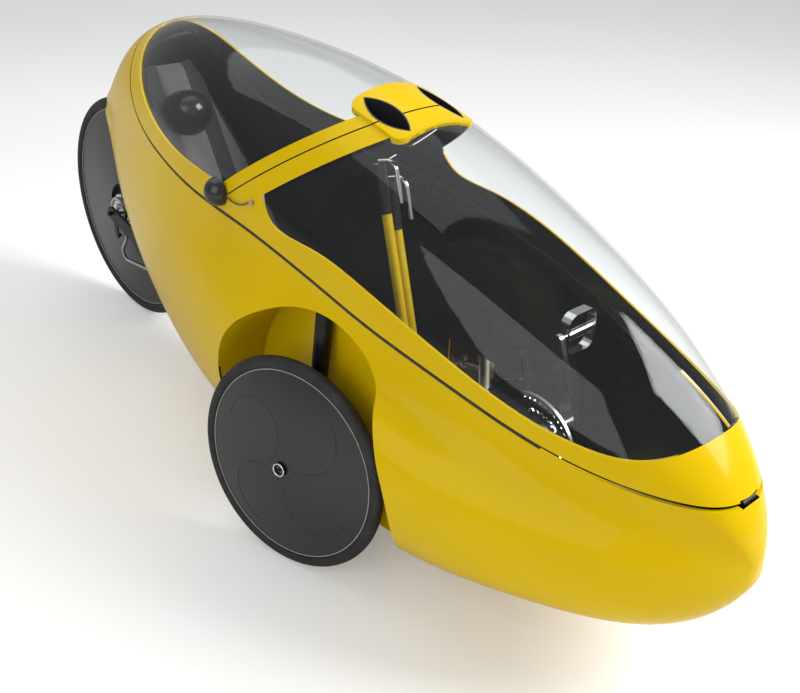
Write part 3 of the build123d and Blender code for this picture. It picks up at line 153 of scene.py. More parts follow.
class Shader:
    """A procedural material built node by node, on Object coordinates"""

    def __init__(self, name):
        self.material = bpy.data.materials.new(name)
        self.material.use_nodes = True
        self.nodes = self.material.node_tree.nodes
        self.links = self.material.node_tree.links
        self.surface = self.nodes["Principled BSDF"]
        self.place = self.nodes.new("ShaderNodeTexCoord").outputs["Object"]

    def set(self, **sockets):
        for socket, value in sockets.items():
            self.surface.inputs[socket.replace("_", " ")].default_value = value
        return self

    def noise(self, scale, detail=3.0, stretch=(1, 1, 1)):
        turned = self.nodes.new("ShaderNodeMapping")
        turned.inputs["Scale"].default_value = stretch
        self.links.new(self.place, turned.inputs["Vector"])
        noise = self.nodes.new("ShaderNodeTexNoise")
        noise.inputs["Scale"].default_value = scale
        noise.inputs["Detail"].default_value = detail
        self.links.new(turned.outputs["Vector"], noise.inputs["Vector"])
        return noise.outputs["Fac"]

    def wave(self, scale, direction="X", distortion=0.0):
        wave = self.nodes.new("ShaderNodeTexWave")
        wave.bands_direction = direction
        wave.inputs["Scale"].default_value = scale
        wave.inputs["Distortion"].default_value = distortion
        self.links.new(self.place, wave.inputs["Vector"])
        return wave.outputs["Fac"]

    def ramp(self, factor, low, high, low_at=0.35, high_at=0.65):
        ramp = self.nodes.new("ShaderNodeValToRGB")
        ramp.color_ramp.elements[0].position = low_at
        ramp.color_ramp.elements[0].color = (*low, 1)
        ramp.color_ramp.elements[1].position = high_at
        ramp.color_ramp.elements[1].color = (*high, 1)
        self.links.new(factor, ramp.inputs["Fac"])
        return ramp.outputs["Color"]

    def colour(self, factor, low, high, low_at=0.35, high_at=0.65):
        self.links.new(self.ramp(factor, low, high, low_at, high_at), self.surface.inputs["Base Color"])
        return self

    def roughness(self, factor, low, high):
        span = self.nodes.new("ShaderNodeMapRange")
        span.inputs["To Min"].default_value = low
        span.inputs["To Max"].default_value = high
        self.links.new(factor, span.inputs["Value"])
        self.links.new(span.outputs["Result"], self.surface.inputs["Roughness"])
        return self

    def bump(self, height, strength, distance):
        bump = self.nodes.new("ShaderNodeBump")
        bump.inputs["Strength"].default_value = strength
        bump.inputs["Distance"].default_value = distance
        self.links.new(height, bump.inputs["Height"])
        previous = self.surface.inputs["Normal"].links
        if previous:
            self.links.new(previous[0].from_socket, bump.inputs["Normal"])
        self.links.new(bump.outputs["Normal"], self.surface.inputs["Normal"])
        return self

    def product(self, first, second):
        both = self.nodes.new("ShaderNodeMath")
        both.operation = "MULTIPLY"
        self.links.new(first, both.inputs[0])
        self.links.new(second, both.inputs[1])
        return both.outputs["Value"]


def shell_yellow():
    """High-gloss moulded yellow with a clear coat and a trace of orange peel."""
    colours = bpy.context.scene.velomobile_colours
    coat = Shader("shell_yellow").set(Specular_IOR_Level=0.07, Coat_Weight=0.09, Coat_Roughness=0.03)
    coat.colour(coat.noise(2.2, 2.0), colours.shell_deep, colours.shell)
    coat.roughness(coat.noise(14.0), 0.18, 0.27)
    return coat.bump(coat.noise(420.0, 1.0), 0.04, 0.0004).material


def tube_yellow():
    """Gloss paint on a steel tube."""
    colours = bpy.context.scene.velomobile_colours
    coat = Shader("tube_yellow").set(Coat_Weight=0.5, Coat_Roughness=0.06)
    coat.colour(coat.noise(40.0), colours.shell_deep, colours.shell)
    return coat.roughness(coat.noise(90.0), 0.22, 0.34).material


def canopy_clear():
    """Clear polished canopy sheet: see-through, with sharp reflections at its edges."""
    clear = Shader("canopy_clear")
    clear.nodes.remove(clear.surface)
    through = clear.nodes.new("ShaderNodeBsdfTransparent")
    through.inputs["Color"].default_value = (0.955, 0.965, 0.965, 1)
    gloss = clear.nodes.new("ShaderNodeBsdfGlossy")
    gloss.inputs["Color"].default_value = (0.96, 0.97, 0.98, 1)
    gloss.inputs["Roughness"].default_value = 0.03
    edge = clear.nodes.new("ShaderNodeLayerWeight")
    edge.inputs["Blend"].default_value = 0.5
    steep = clear.nodes.new("ShaderNodeMath")
    steep.operation = "POWER"
    steep.inputs[1].default_value = 5.0
    clear.links.new(edge.outputs["Facing"], steep.inputs[0])
    share = clear.nodes.new("ShaderNodeMapRange")
    share.inputs["To Min"].default_value = 0.02
    share.inputs["To Max"].default_value = 0.7
    clear.links.new(steep.outputs["Value"], share.inputs["Value"])
    ripple = clear.nodes.new("ShaderNodeBump")
    ripple.inputs["Strength"].default_value = 0.05
    ripple.inputs["Distance"].default_value = 0.002
    clear.links.new(clear.noise(6.0, 1.0), ripple.inputs["Height"])
    clear.links.new(ripple.outputs["Normal"], gloss.inputs["Normal"])
    both = clear.nodes.new("ShaderNodeMixShader")
    clear.links.new(share.outputs["Result"], both.inputs["Fac"])
    clear.links.new(through.outputs["BSDF"], both.inputs[1])
    clear.links.new(gloss.outputs["BSDF"], both.inputs[2])
    clear.links.new(both.outputs["Shader"], clear.nodes["Material Output"].inputs["Surface"])
    return clear.material


def gloss_black():
    """Polished black plastic."""
    black = Shader("gloss_black").set(Coat_Weight=0.5, Coat_Roughness=0.03)
    black.colour(black.noise(30.0), (0.006, 0.006, 0.007), (0.012, 0.012, 0.014))
    return black.roughness(black.noise(60.0), 0.12, 0.22).material


def liner_black():
    """Smooth black laminate of the wells and the housing."""
    black = Shader("liner_black").set(Coat_Weight=0.25, Coat_Roughness=0.2)
    black.colour(black.noise(26.0), (0.010, 0.010, 0.011), (0.020, 0.020, 0.022))
    black.roughness(black.noise(50.0), 0.35, 0.5)
    return black.bump(black.noise(300.0), 0.1, 0.0005).material


def disc_black():
    """Black wheel cover, its laminate showing as a fine weave under the lacquer."""
    disc = Shader("disc_black").set(Coat_Weight=0.6, Coat_Roughness=0.08)
    weave = disc.product(disc.wave(160.0, "X"), disc.wave(160.0, "Z"))
    disc.colour(weave, (0.008, 0.008, 0.009), (0.018, 0.018, 0.020))
    disc.roughness(disc.noise(20.0), 0.22, 0.34)
    return disc.bump(disc.noise(60.0, 1.0), 0.05, 0.001).material


def anodised_black():
    """Black anodised alloy."""
    alloy = Shader("anodised_black").set(Metallic=0.85)
    alloy.colour(alloy.noise(50.0), (0.020, 0.020, 0.022), (0.036, 0.036, 0.040))
    return alloy.roughness(alloy.noise(200.0), 0.32, 0.45).material


def brushed_alloy():
    """Brushed aluminium."""
    alloy = Shader("brushed_alloy").set(Metallic=1.0)
    alloy.colour(alloy.noise(30.0), (0.50, 0.51, 0.52), (0.62, 0.63, 0.64))
    alloy.roughness(alloy.noise(160.0, 2.0, (1, 1, 14)), 0.28, 0.42)
    return alloy.bump(alloy.noise(400.0, 2.0, (1, 1, 20)), 0.06, 0.0003).material


def polished_alloy():
    """Polished aluminium of the cranks and pedals."""
    alloy = Shader("polished_alloy").set(Metallic=1.0)
    alloy.colour(alloy.noise(24.0), (0.66, 0.67, 0.68), (0.78, 0.78, 0.79))
    return alloy.roughness(alloy.noise(80.0), 0.12, 0.24).material


def bright_steel():
    """Bright steel of the chain, sprockets and levers."""
    steel = Shader("bright_steel").set(Metallic=1.0)
    steel.colour(steel.noise(70.0), (0.46, 0.46, 0.47), (0.62, 0.62, 0.63))
    return steel.roughness(steel.noise(150.0), 0.16, 0.32).material


def dull_steel():
    """Brushed steel of the pins and the hinge."""
    steel = Shader("dull_steel").set(Metallic=1.0)
    steel.colour(steel.noise(60.0), (0.40, 0.40, 0.41), (0.52, 0.52, 0.53))
    return steel.roughness(steel.noise(180.0, 2.0, (8, 1, 1)), 0.26, 0.4).material


def tyre_rubber():
    """Black tyre rubber with faint scuffs."""
    rubber = Shader("tyre_rubber").set(Specular_IOR_Level=0.4)
    rubber.colour(rubber.noise(26.0), (0.011, 0.011, 0.011), (0.022, 0.022, 0.022))
    rubber.roughness(rubber.noise(70.0), 0.52, 0.72)
    return rubber.bump(rubber.noise(500.0), 0.15, 0.0005).material


def damper_rubber():
    """Matt black rubber of the damper."""
    rubber = Shader("damper_rubber")
    rubber.colour(rubber.noise(80.0), (0.016, 0.016, 0.016), (0.030, 0.030, 0.030))
    return rubber.roughness(rubber.noise(120.0), 0.6, 0.8).material


def seat_laminate():
    """Black woven laminate of the seat shell."""
    laminate = Shader("seat_laminate").set(Coat_Weight=0.4, Coat_Roughness=0.1)
    weave = laminate.product(laminate.wave(90.0, "Y"), laminate.wave(90.0, "Z"))
    laminate.colour(weave, (0.010, 0.010, 0.011), (0.030, 0.030, 0.033))
    return laminate.roughness(laminate.noise(40.0), 0.25, 0.4).material


def seat_felt():
    """Grey felt with fibres standing in it."""
    colours = bpy.context.scene.velomobile_colours
    felt = Shader("seat_felt").set(Sheen_Weight=0.4, Sheen_Roughness=0.5)
    dark = [channel * 0.72 for channel in colours.felt]
    felt.colour(felt.noise(240.0, 6.0), dark, colours.felt)
    felt.roughness(felt.noise(60.0), 0.85, 0.97)
    felt.bump(felt.noise(700.0, 4.0), 0.5, 0.0012)
    return felt.bump(felt.noise(34.0, 2.0), 0.3, 0.004).material


def strap_webbing():
    """Woven harness webbing."""
    colours = bpy.context.scene.velomobile_colours
    webbing = Shader("strap_webbing").set(Sheen_Weight=0.3)
    weave = webbing.product(webbing.wave(420.0, "Y"), webbing.wave(420.0, "Z"))
    light = [channel * 2.6 for channel in colours.webbing]
    webbing.colour(weave, colours.webbing, light)
    webbing.roughness(webbing.noise(100.0), 0.7, 0.9)
    return webbing.bump(weave, 0.5, 0.0008).material


def lanyard_braid():
    """Dark braided cord."""
    braid = Shader("lanyard_braid").set(Sheen_Weight=0.3)
    strands = braid.wave(900.0, "DIAGONAL", 2.0)
    braid.colour(strands, (0.012, 0.012, 0.013), (0.05, 0.05, 0.055))
    braid.roughness(braid.noise(200.0), 0.6, 0.85)
    return braid.bump(strands, 0.6, 0.0006).material


def line_white():
    """Thin pale line of the wheel covers."""
    colours = bpy.context.scene.velomobile_colours
    line = Shader("line_white")
    dark = [channel * 0.85 for channel in colours.rim_line]
    line.colour(line.noise(50.0), dark, colours.rim_line)
    return line.roughness(line.noise(90.0), 0.3, 0.45).material


FINISHES = {
    "yellow": shell_yellow, "yellow_tube": tube_yellow, "clear": canopy_clear, "gloss_black": gloss_black,
    "inner_black": liner_black, "disc_black": disc_black, "black_alloy": anodised_black,
    "bare_aluminium": brushed_alloy, "bright_alloy": polished_alloy, "steel": dull_steel,
    "bright_steel": bright_steel, "tyre": tyre_rubber, "rubber": damper_rubber, "cord": lanyard_braid,
    "seat_laminate": seat_laminate, "felt": seat_felt, "webbing": strap_webbing, "line": line_white,
}


def finish_of(slot):
    """The material of a slot, made the first time it is asked for."""
    name = FINISHES[slot].__name__
    return bpy.data.materials.get(name) or FINISHES[slot]()


def only(piece):
    """Deselect everything else and make a piece active."""
    bpy.ops.object.select_all(action="DESELECT")
    piece.select_set(True)
    bpy.context.view_layer.objects.active = piece
    return piece


def new_piece(name):
    """The object a primitive operator has just added, under its own name."""
    piece = bpy.context.object
    piece.name = name
    piece.data.name = name
    return piece


def settled(piece, slot, body, *nodes):
    """Apply a piece's place, give it its finish, and let it ride on its body."""
    only(piece)
    bpy.ops.object.transform_apply(location=True, rotation=True, scale=True)
    piece.data.materials.clear()
    piece.data.materials.append(finish_of(slot))
    if nodes:
        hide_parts(*nodes)
    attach(piece, body)
    return piece


def turned_to(axis):
    """The rotation that turns +Z to an axis."""
    return Vector((0, 0, 1)).rotation_difference(axis).to_euler()


def merged_copy(node, name, angle=32.0):
    """A CAD node's own mesh as a new piece, its triangles joined and smoothed by angle."""
    source = frame["nodes"][node]
    piece = bpy.data.objects.new(name, source.data.copy())
    bpy.context.scene.collection.objects.link(piece)
    only(piece)
    bpy.ops.object.mode_set(mode="EDIT")
    bpy.ops.mesh.select_all(action="SELECT")
    bpy.ops.mesh.customdata_custom_splitnormals_clear()
    bpy.ops.mesh.remove_doubles(threshold=0.00001)
    bpy.ops.object.mode_set(mode="OBJECT")
    bpy.ops.object.shade_smooth_by_angle(angle=math.radians(angle))
    return piece


def nearest_on_spine(point):
    """The nearest point of the hull's middle line."""
    return min(
        (intersect_point_line(point, start, end) + (start, end) for start, end in zip(SPINE, SPINE[1:])),
        key=lambda found: (clamped(found) - point).length,
    )


def clamped(found):
    """A point of a spine segment, kept between the segment's ends."""
    place, share, start, end = found
    return start if share < 0 else end if share > 1 else place


def second_finish(piece, slot, belongs):
    """Give the faces for which a rule holds another finish."""
    piece.data.materials.append(finish_of(slot))
    for face in piece.data.polygons:
        face.material_index = int(belongs(face.center, face.normal))


def outward_at(point):
    """The direction straight out of the hull at a point."""
    return (point - clamped(nearest_on_spine(point))).normalized()


def faces_cabin(centre, normal):
    """Whether a face of the shell looks into the cabin."""
    return normal.dot(outward_at(centre)) < 0


def under_skin(centre, normal):
    """Whether a face of the canopy is an inner face or a cut edge, but not a side of the duct pad."""
    low, high = duct_box
    over_pad = all(low[axis] - PAD_MARGIN < centre[axis] < high[axis] + PAD_MARGIN for axis in (0, 1))
    limit = PAD_SKIN_LIMIT if over_pad and centre.z > low.z else SKIN_LIMIT
    return normal.dot(outward_at(centre)) < limit


def seam_rim(centre, normal):
    """Whether a face of the tub is the rim that the canopy closes on, as far as the nose hinge's swing."""
    if centre.z <= RIM_LOW or centre.x > joint_place("canopy_tilt").x - HINGE_CLEARANCE:
        return False
    faces_seam = normal.z > RIM_UP or (normal.x > RIM_FORWARD and centre.x < TAIL_X)
    across_wall = abs(normal.dot(outward_at(centre))) < RIM_OUTWARD
    return faces_seam and abs(normal.y) < RIM_SIDEWAYS and across_wall


def faces_wheel(centre, normal):
    """Whether a face of a wheel well looks at its wheel."""
    side = "left" if centre.y > 0 else "right"
    return normal.dot(centre - joint_place(f"front_{side}_spin")) < 0


class VELO_OT_dress_shell(bpy.types.Operator):
    """Give every hard CAD piece its smoothed surface and its finish"""

    bl_idname = "velo.dress_shell"
    bl_label = "Dress the hard pieces"

    soft = {"seat_pad", "harness_straps", "lanyards"}
    lined = {"body_tub": faces_cabin, "front_canopy_frame": under_skin, "rear_canopy_frame": under_skin}

    def execute(self, context):
        for node, slot in slot_of_node.items():
            if node in self.soft:
                continue
            piece = settled(merged_copy(node, f"{node}_dressed"), slot, body_of_node[node], node)
            if node in self.lined:
                second_finish(piece, "gloss_black", self.lined[node])
            if node == "wheel_wells":
                second_finish(piece, "yellow", faces_wheel)
        return {"FINISHED"}


class VELO_OT_seam_seal(bpy.types.Operator):
    """Lay a black strip on the tub's rim, a little inside the skin: painted shade that darkens the seam gap
    and closes it
    """

    bl_idname = "velo.seam_seal"
    bl_label = "Lay the painted seam shade"

    height = 0.0072
    set_back = 0.0016

    def execute(self, context):
        piece = merged_copy("body_tub", "seam_shade_strip")
        whole = len(piece.data.polygons)
        bpy.ops.object.mode_set(mode="EDIT")
        bpy.ops.mesh.select_mode(type="FACE")
        bpy.ops.mesh.select_all(action="DESELECT")
        shape = bmesh.from_edit_mesh(piece.data)
        for face in shape.faces:
            face.select_set(not seam_rim(face.calc_center_median(), face.normal))
        bmesh.update_edit_mesh(piece.data)
        bpy.ops.mesh.delete(type="FACE")
        bpy.ops.object.mode_set(mode="OBJECT")
        if not 0 < len(piece.data.polygons) < whole // 2:
            raise RuntimeError("the rim faces of the tub were not found")
        for vertex in piece.data.vertices:
            vertex.co -= outward_at(vertex.co) * self.set_back
        wall = piece.modifiers.new("height", "SOLIDIFY")
        wall.thickness = self.height
        wall.offset = 1.0
        bpy.ops.object.modifier_apply(modifier="height")
        bpy.ops.object.shade_smooth_by_angle(angle=math.radians(40))
        # The strip takes the black rubber finish as painted shade, so that the seam gap reads dark
        settled(piece, "rubber", body_of_node["body_tub"])
        return {"FINISHED"}


class VELO_OT_duct_ribs(bpy.types.Operator):
    """Set a row of thin ribs across each air duct, the middle one as its dividing web"""

    bl_idname = "velo.duct_ribs"
    bl_label = "Rib the air ducts"

    ribs = 9
    pitch = 0.011
    thickness = 0.0011
    depth = 0.011
    web_rise = 1.7
    rounding = 0.4
    probe_height = 0.006

    def execute(self, context):
        ducts = frame["nodes"]["air_ducts"]
        low, high = duct_box
        surface = BVHTree.FromPolygons(
            [vertex.co for vertex in ducts.data.vertices],
            [face.vertices[:] for face in ducts.data.polygons],
        )
        middle_x = (low.x + high.x) / 2
        for name, side in (("left", 1), ("right", -1)):
            middle_y = side * (abs(low.y) + self.inner_edge(ducts)) / 2
            for number in range(self.ribs):
                x = middle_x + (number - (self.ribs - 1) / 2) * self.pitch
                floor = surface.ray_cast(Vector((x, middle_y, high.z + 0.02)), Vector((0, 0, -1)))[0]
                probe = Vector((x, middle_y, floor.z + self.probe_height))
                one_wall = surface.ray_cast(probe, Vector((0, 1, 0)))[0]
                other_wall = surface.ray_cast(probe, Vector((0, -1, 0)))[0]
                web = number == self.ribs // 2
                self.rib(f"duct_rib_{name}_{number + 1}", x, one_wall.y, other_wall.y, floor.z, web)
        return {"FINISHED"}

    def inner_edge(self, ducts):
        """The ducts' edge nearest the middle plane."""
        return min(abs(vertex.co.y) for vertex in ducts.data.vertices)

    def rib(self, name, x, outer, inner, floor, web):
        """One rib: a plate with a rounded top edge, taller where it is the web."""
        height = self.depth * (self.web_rise if web else 1.0)
        bpy.ops.object.select_all(action="DESELECT")
        bpy.ops.mesh.primitive_cube_add(size=1, location=(x, (outer + inner) / 2, floor + height / 2))
        piece = new_piece(name)
        piece.scale = (self.thickness, abs(outer - inner) + 0.0006, height)
        bpy.ops.object.transform_apply(location=True, rotation=True, scale=True)
        bevel = piece.modifiers.new("rounding", "BEVEL")
        bevel.width = self.thickness * self.rounding
        bevel.segments = 3
        bpy.ops.object.modifier_apply(modifier="rounding")
        settled(piece, "gloss_black", body_of_node["air_ducts"])


class VELO_OT_head_dome(bpy.types.Operator):
    """Stand the black moulded head dome on the seat back"""

    bl_idname = "velo.head_dome"
    bl_label = "Stand the head dome"

    # Middle of the dome on the seat back, the lean of the seat back, and the dome's half sizes
    foot = (-0.548, 0, 0.690)
    lean = 31.0
    half_width = 0.066
    half_height = 0.060
    rise = 0.078
    edge_width = 0.004

    def execute(self, context):
        bpy.ops.object.select_all(action="DESELECT")
        bpy.ops.mesh.primitive_uv_sphere_add(segments=48, ring_count=24, radius=1, location=self.foot)
        piece = new_piece("head_dome")
        piece.scale = (self.rise, self.half_width, self.half_height)
        piece.rotation_euler = (0, math.radians(-self.lean), 0)
        bpy.ops.object.transform_apply(location=True, rotation=True, scale=True)
        lean = math.radians(self.lean)
        bpy.ops.object.mode_set(mode="EDIT")
        bpy.ops.mesh.select_all(action="SELECT")
        bpy.ops.mesh.bisect(
            plane_co=self.foot, plane_no=(math.cos(lean), 0, math.sin(lean)),
            clear_inner=True, use_fill=True,
        )
        bpy.ops.object.mode_set(mode="OBJECT")
        rounding = piece.modifiers.new("edge", "BEVEL")
        rounding.width = self.edge_width
        rounding.segments = 3
        rounding.angle_limit = math.radians(60)
        bpy.ops.object.modifier_apply(modifier="edge")
        bpy.ops.object.shade_smooth_by_angle(angle=math.radians(50))
        settled(piece, "gloss_black", body_of_node["seat_shell"])
        return {"FINISHED"}


def ring_line(name, centre, axis, radius, thickness, body):
    """A thin round line laid on a wheel cover."""
    bpy.ops.object.select_all(action="DESELECT")
    bpy.ops.mesh.primitive_torus_add(
        location=centre, rotation=turned_to(axis), major_radius=radius, minor_radius=thickness,
        major_segments=128, minor_segments=8,
    )
    piece = new_piece(name)
    bpy.ops.object.shade_smooth()
    return settled(piece, "line", body)


class VELO_OT_rim_lines(bpy.types.Operator):
    """Lay a thin pale line round each wheel cover"""

    bl_idname = "velo.rim_lines"
    bl_label = "Lay the rim lines"

    # Distance of each cover's face from the wheel's middle
    front_face = 0.0098
    rear_face = 0.0103

    def execute(self, context):
        sizes = context.scene.velomobile_sizes
        for side in ("left", "right"):
            centre = joint_place(f"front_{side}_spin")
            axis = joint_axis(f"front_{side}_spin")
            ring_line(f"rim_line_{side}", centre + axis * self.front_face, axis, sizes.front_line_radius,
                      sizes.line_thickness, body_of_node[f"front_cover_{side}"])
        centre = joint_place("rear_spin")
        axis = joint_axis("rear_spin")
        for face, name in ((self.rear_face, "left"), (-self.rear_face, "right")):
            ring_line(f"rear_rim_line_{name}", centre + axis * face, axis, sizes.rear_line_radius,
                      sizes.line_thickness, body_of_node["rear_cover"])
        return {"FINISHED"}


def swept_tube(name, points, radius, slot, body):
    """A round rod along a line of points."""
    line = bpy.data.curves.new(name, "CURVE")
    line.dimensions = "3D"
    line.bevel_depth = radius
    line.bevel_resolution = 3
    line.use_fill_caps = True
    spline = line.splines.new("POLY")
    spline.points.add(len(points) - 1)
    for knot, point in zip(spline.points, points):
        knot.co = (*point, 1)
    piece = bpy.data.objects.new(name, line)
    bpy.context.scene.collection.objects.link(piece)
    only(piece)
    bpy.ops.object.convert(target="MESH")
    bpy.ops.object.shade_smooth()
    return settled(piece, slot, body)


class VELO_OT_cover_relief(bpy.types.Operator):
    """Lay four shallow curved ridges on each front wheel cover and ring its hub opening"""

    bl_idname = "velo.cover_relief"
    bl_label = "Shape the wheel covers"

    # Ridges are arcs of ridge_radius; each starts and advances by a number of degrees
    ridges = 4
    ridge_radius = 0.074
    ridge_centre = 0.100
    ridge_thickness = 0.0009
    ridge_turn = 0.35
    ridge_points = 29
    ridge_start = -20
    ridge_advance = 8
    probe_height = 0.1
    hub_ring_radius = 0.0135
    hub_ring_thickness = 0.0017
    hub_end = 0.040

    def execute(self, context):
        for side in ("left", "right"):
            centre = joint_place(f"front_{side}_spin")
            axis = joint_axis(f"front_{side}_spin")
            out = axis if axis.y * centre.y > 0 else -axis
            across = out.cross(Vector((0, 0, 1))).normalized()
            upward = across.cross(out)
            body = body_of_node[f"front_cover_{side}"]
            cover = bpy.data.objects[f"front_cover_{side}_dressed"]
            surface = BVHTree.FromPolygons(
                [vertex.co for vertex in cover.data.vertices],
                [face.vertices[:] for face in cover.data.polygons],
            )
            for number in range(self.ridges):
                start = math.tau * (number + self.ridge_turn) / self.ridges
                middle = across * math.cos(start) + upward * math.sin(start)
                aside = upward * math.cos(start) - across * math.sin(start)
                points = []
                for step in range(self.ridge_points):
                    turn = math.radians(self.ridge_start + self.ridge_advance * step)
                    flat = centre + middle * (self.ridge_centre - self.ridge_radius * math.cos(turn))
                    flat += aside * self.ridge_radius * math.sin(turn)
                    hit = surface.ray_cast(flat + out * self.probe_height, -out)
                    points.append(hit[0])
                name = f"cover_ridge_{side}_{number + 1}"
                swept_tube(name, points, self.ridge_thickness, "disc_black", body)
            bpy.ops.object.select_all(action="DESELECT")
            bpy.ops.mesh.primitive_torus_add(
                location=centre + out * self.hub_end, rotation=turned_to(out),
                major_radius=self.hub_ring_radius, minor_radius=self.hub_ring_thickness,
                major_segments=48, minor_segments=12,
            )
            ring = new_piece(f"hub_ring_{side}")
            bpy.ops.object.shade_smooth()
            settled(ring, "bright_alloy", body_of_node[f"front_hub_{side}"])
        return {"FINISHED"}


class VELO_OT_seat_cushion(bpy.types.Operator):
    """Pad the seat as a felt-covered cushion, filled by a short cloth simulation"""

    bl_idname = "velo.seat_cushion"
    bl_label = "Pad the seat"

    flat_swell = 0.0004
    full_swell = 0.008
    strap_cover = 0.050
    strap_margin = 0.004
    pressure = 4.0
    smoothing = 3
    fill = 0.7

    def execute(self, context):
        sizes = context.scene.velomobile_sizes
        piece = merged_copy("seat_pad", "seat_cushion", 60.0)
        remesh = piece.modifiers.new("cells", "REMESH")
        remesh.mode = "VOXEL"
        remesh.voxel_size = sizes.cushion_cell
        bpy.ops.object.modifier_apply(modifier="cells")
        self.inflate(piece, sizes.cushion_frames)
        smooth = piece.modifiers.new("smooth", "SMOOTH")
        smooth.iterations = self.smoothing
        bpy.ops.object.modifier_apply(modifier="smooth")
        bpy.ops.object.shade_smooth()
        settled(piece, "felt", body_of_node["seat_pad"], "seat_pad")
        return {"FINISHED"}

    def inflate(self, piece, frames):
        """Blow the cover up a little, keeping its back where it lies on the shell."""
        held = piece.vertex_groups.new(name="held")
        kept = bmesh.new()
        kept.from_mesh(piece.data)
        backs = [vertex.index for vertex in kept.verts if vertex.normal.x < -0.3 or vertex.normal.z < -0.5]
        kept.free()
        held.add(backs, 1.0, "REPLACE")
        cloth = piece.modifiers.new("fill", "CLOTH")
        cloth.settings.use_pressure = True
        cloth.settings.uniform_pressure_force = self.pressure
        cloth.settings.vertex_group_mass = "held"
        cloth.settings.effector_weights.gravity = 0.0
        cloth.point_cache.frame_end = frames
        scene = bpy.context.scene
        rest = [vertex.co.copy() for vertex in piece.data.vertices]
        for step in range(1, frames + 1):
            scene.frame_set(step)
        bpy.ops.object.modifier_apply(modifier="fill")
        scene.frame_set(1)
        for vertex, start in zip(piece.data.vertices, rest):
            swell = vertex.co - start
            limit = self.flat_swell if self.under_strap(start) else self.full_swell
            if swell.length > limit:
                vertex.co = start + swell.normalized() * limit

    def under_strap(self, point):
        """Whether a harness strap lies on this part of the cushion."""
        low, high = strap_box
        outer = max(abs(low.y), abs(high.y))
        return point.z > low.z and outer - self.strap_cover < abs(point.y) < outer + self.strap_margin


class VELO_OT_harness(bpy.types.Operator):
    """Lay the woven harness straps over the seat"""

    bl_idname = "velo.harness"
    bl_label = "Lay the harness"

    edge_width = 0.0008

    def execute(self, context):
        piece = merged_copy("harness_straps", "harness_webbing", 60.0)
        bevel = piece.modifiers.new("soft edge", "BEVEL")
        bevel.width = self.edge_width
        bevel.segments = 2
        bpy.ops.object.modifier_apply(modifier="soft edge")
        bpy.ops.object.shade_smooth_by_angle(angle=math.radians(50))
        settled(piece, "webbing", body_of_node["harness_straps"], "harness_straps")
        return {"FINISHED"}


class VELO_OT_lanyards(bpy.types.Operator):
    """Hang the short cords between the lift knobs and their pins"""

    bl_idname = "velo.lanyards"
    bl_label = "Hang the lanyards"

    # Route from the knob to the pin as places along X and heights, at one distance from the middle plane
    route = ((0.03027, 0.70565), (0.0535, 0.6978), (0.0915, 0.7035), (0.11467, 0.71965))
    out = 0.26201
    length = 0.0901
    diameter = 0.0036

    def execute(self, context):
        for name, side in (("left", 1), ("right", -1)):
            line = bpy.data.curves.new(f"lanyard_{name}", "CURVE")
            line.dimensions = "3D"
            line.bevel_depth = self.diameter / 2
            line.bevel_resolution = 4
            line.use_fill_caps = True
            spline = line.splines.new("NURBS")
            spline.points.add(len(self.route) - 1)
            for knot, (x, z) in zip(spline.points, self.route):
                knot.co = (x, side * self.out, z, 1)
            spline.order_u = 3
            spline.use_endpoint_u = True
            spline.resolution_u = 12
            piece = bpy.data.objects.new(f"lanyard_{name}", line)
            context.scene.collection.objects.link(piece)
            settled(piece, "cord", body_of_node["lanyards"], "lanyards")
            x, z = self.route[0]
        return {"FINISHED"}


def stage_surface(name, colour, lift_strength=0.22):
    """Pale matt floor that reads as the white studio to the camera."""
    floor = Shader(name).set(Roughness=0.9, Specular_IOR_Level=0.1)
    shade = [channel * 0.97 for channel in colour]
    floor.colour(floor.noise(0.6, 1.0), shade, colour)
    glow = floor.nodes.new("ShaderNodeEmission")
    path = floor.nodes.new("ShaderNodeLightPath")
    lift = floor.nodes.new("ShaderNodeMath")
    lift.operation = "MULTIPLY"
    lift.inputs[1].default_value = lift_strength
    floor.links.new(path.outputs["Is Camera Ray"], lift.inputs[0])
    floor.links.new(lift.outputs["Value"], glow.inputs["Strength"])
    both = floor.nodes.new("ShaderNodeAddShader")
    floor.links.new(floor.surface.outputs["BSDF"], both.inputs[0])
    floor.links.new(glow.outputs["Emission"], both.inputs[1])
    floor.links.new(both.outputs["Shader"], floor.nodes["Material Output"].inputs["Surface"])
    return floor.material


def soft_lamp(name, place, aim, size, power):
    """A square studio lamp at a place, turned to what it lights."""
    bpy.ops.object.light_add(type="AREA", location=place)
    lamp = bpy.context.object
    lamp.name = name
    lamp.data.size = size
    lamp.data.energy = power
    lamp.rotation_euler = (Vector(aim) - Vector(place)).to_track_quat("-Z", "Y").to_euler()


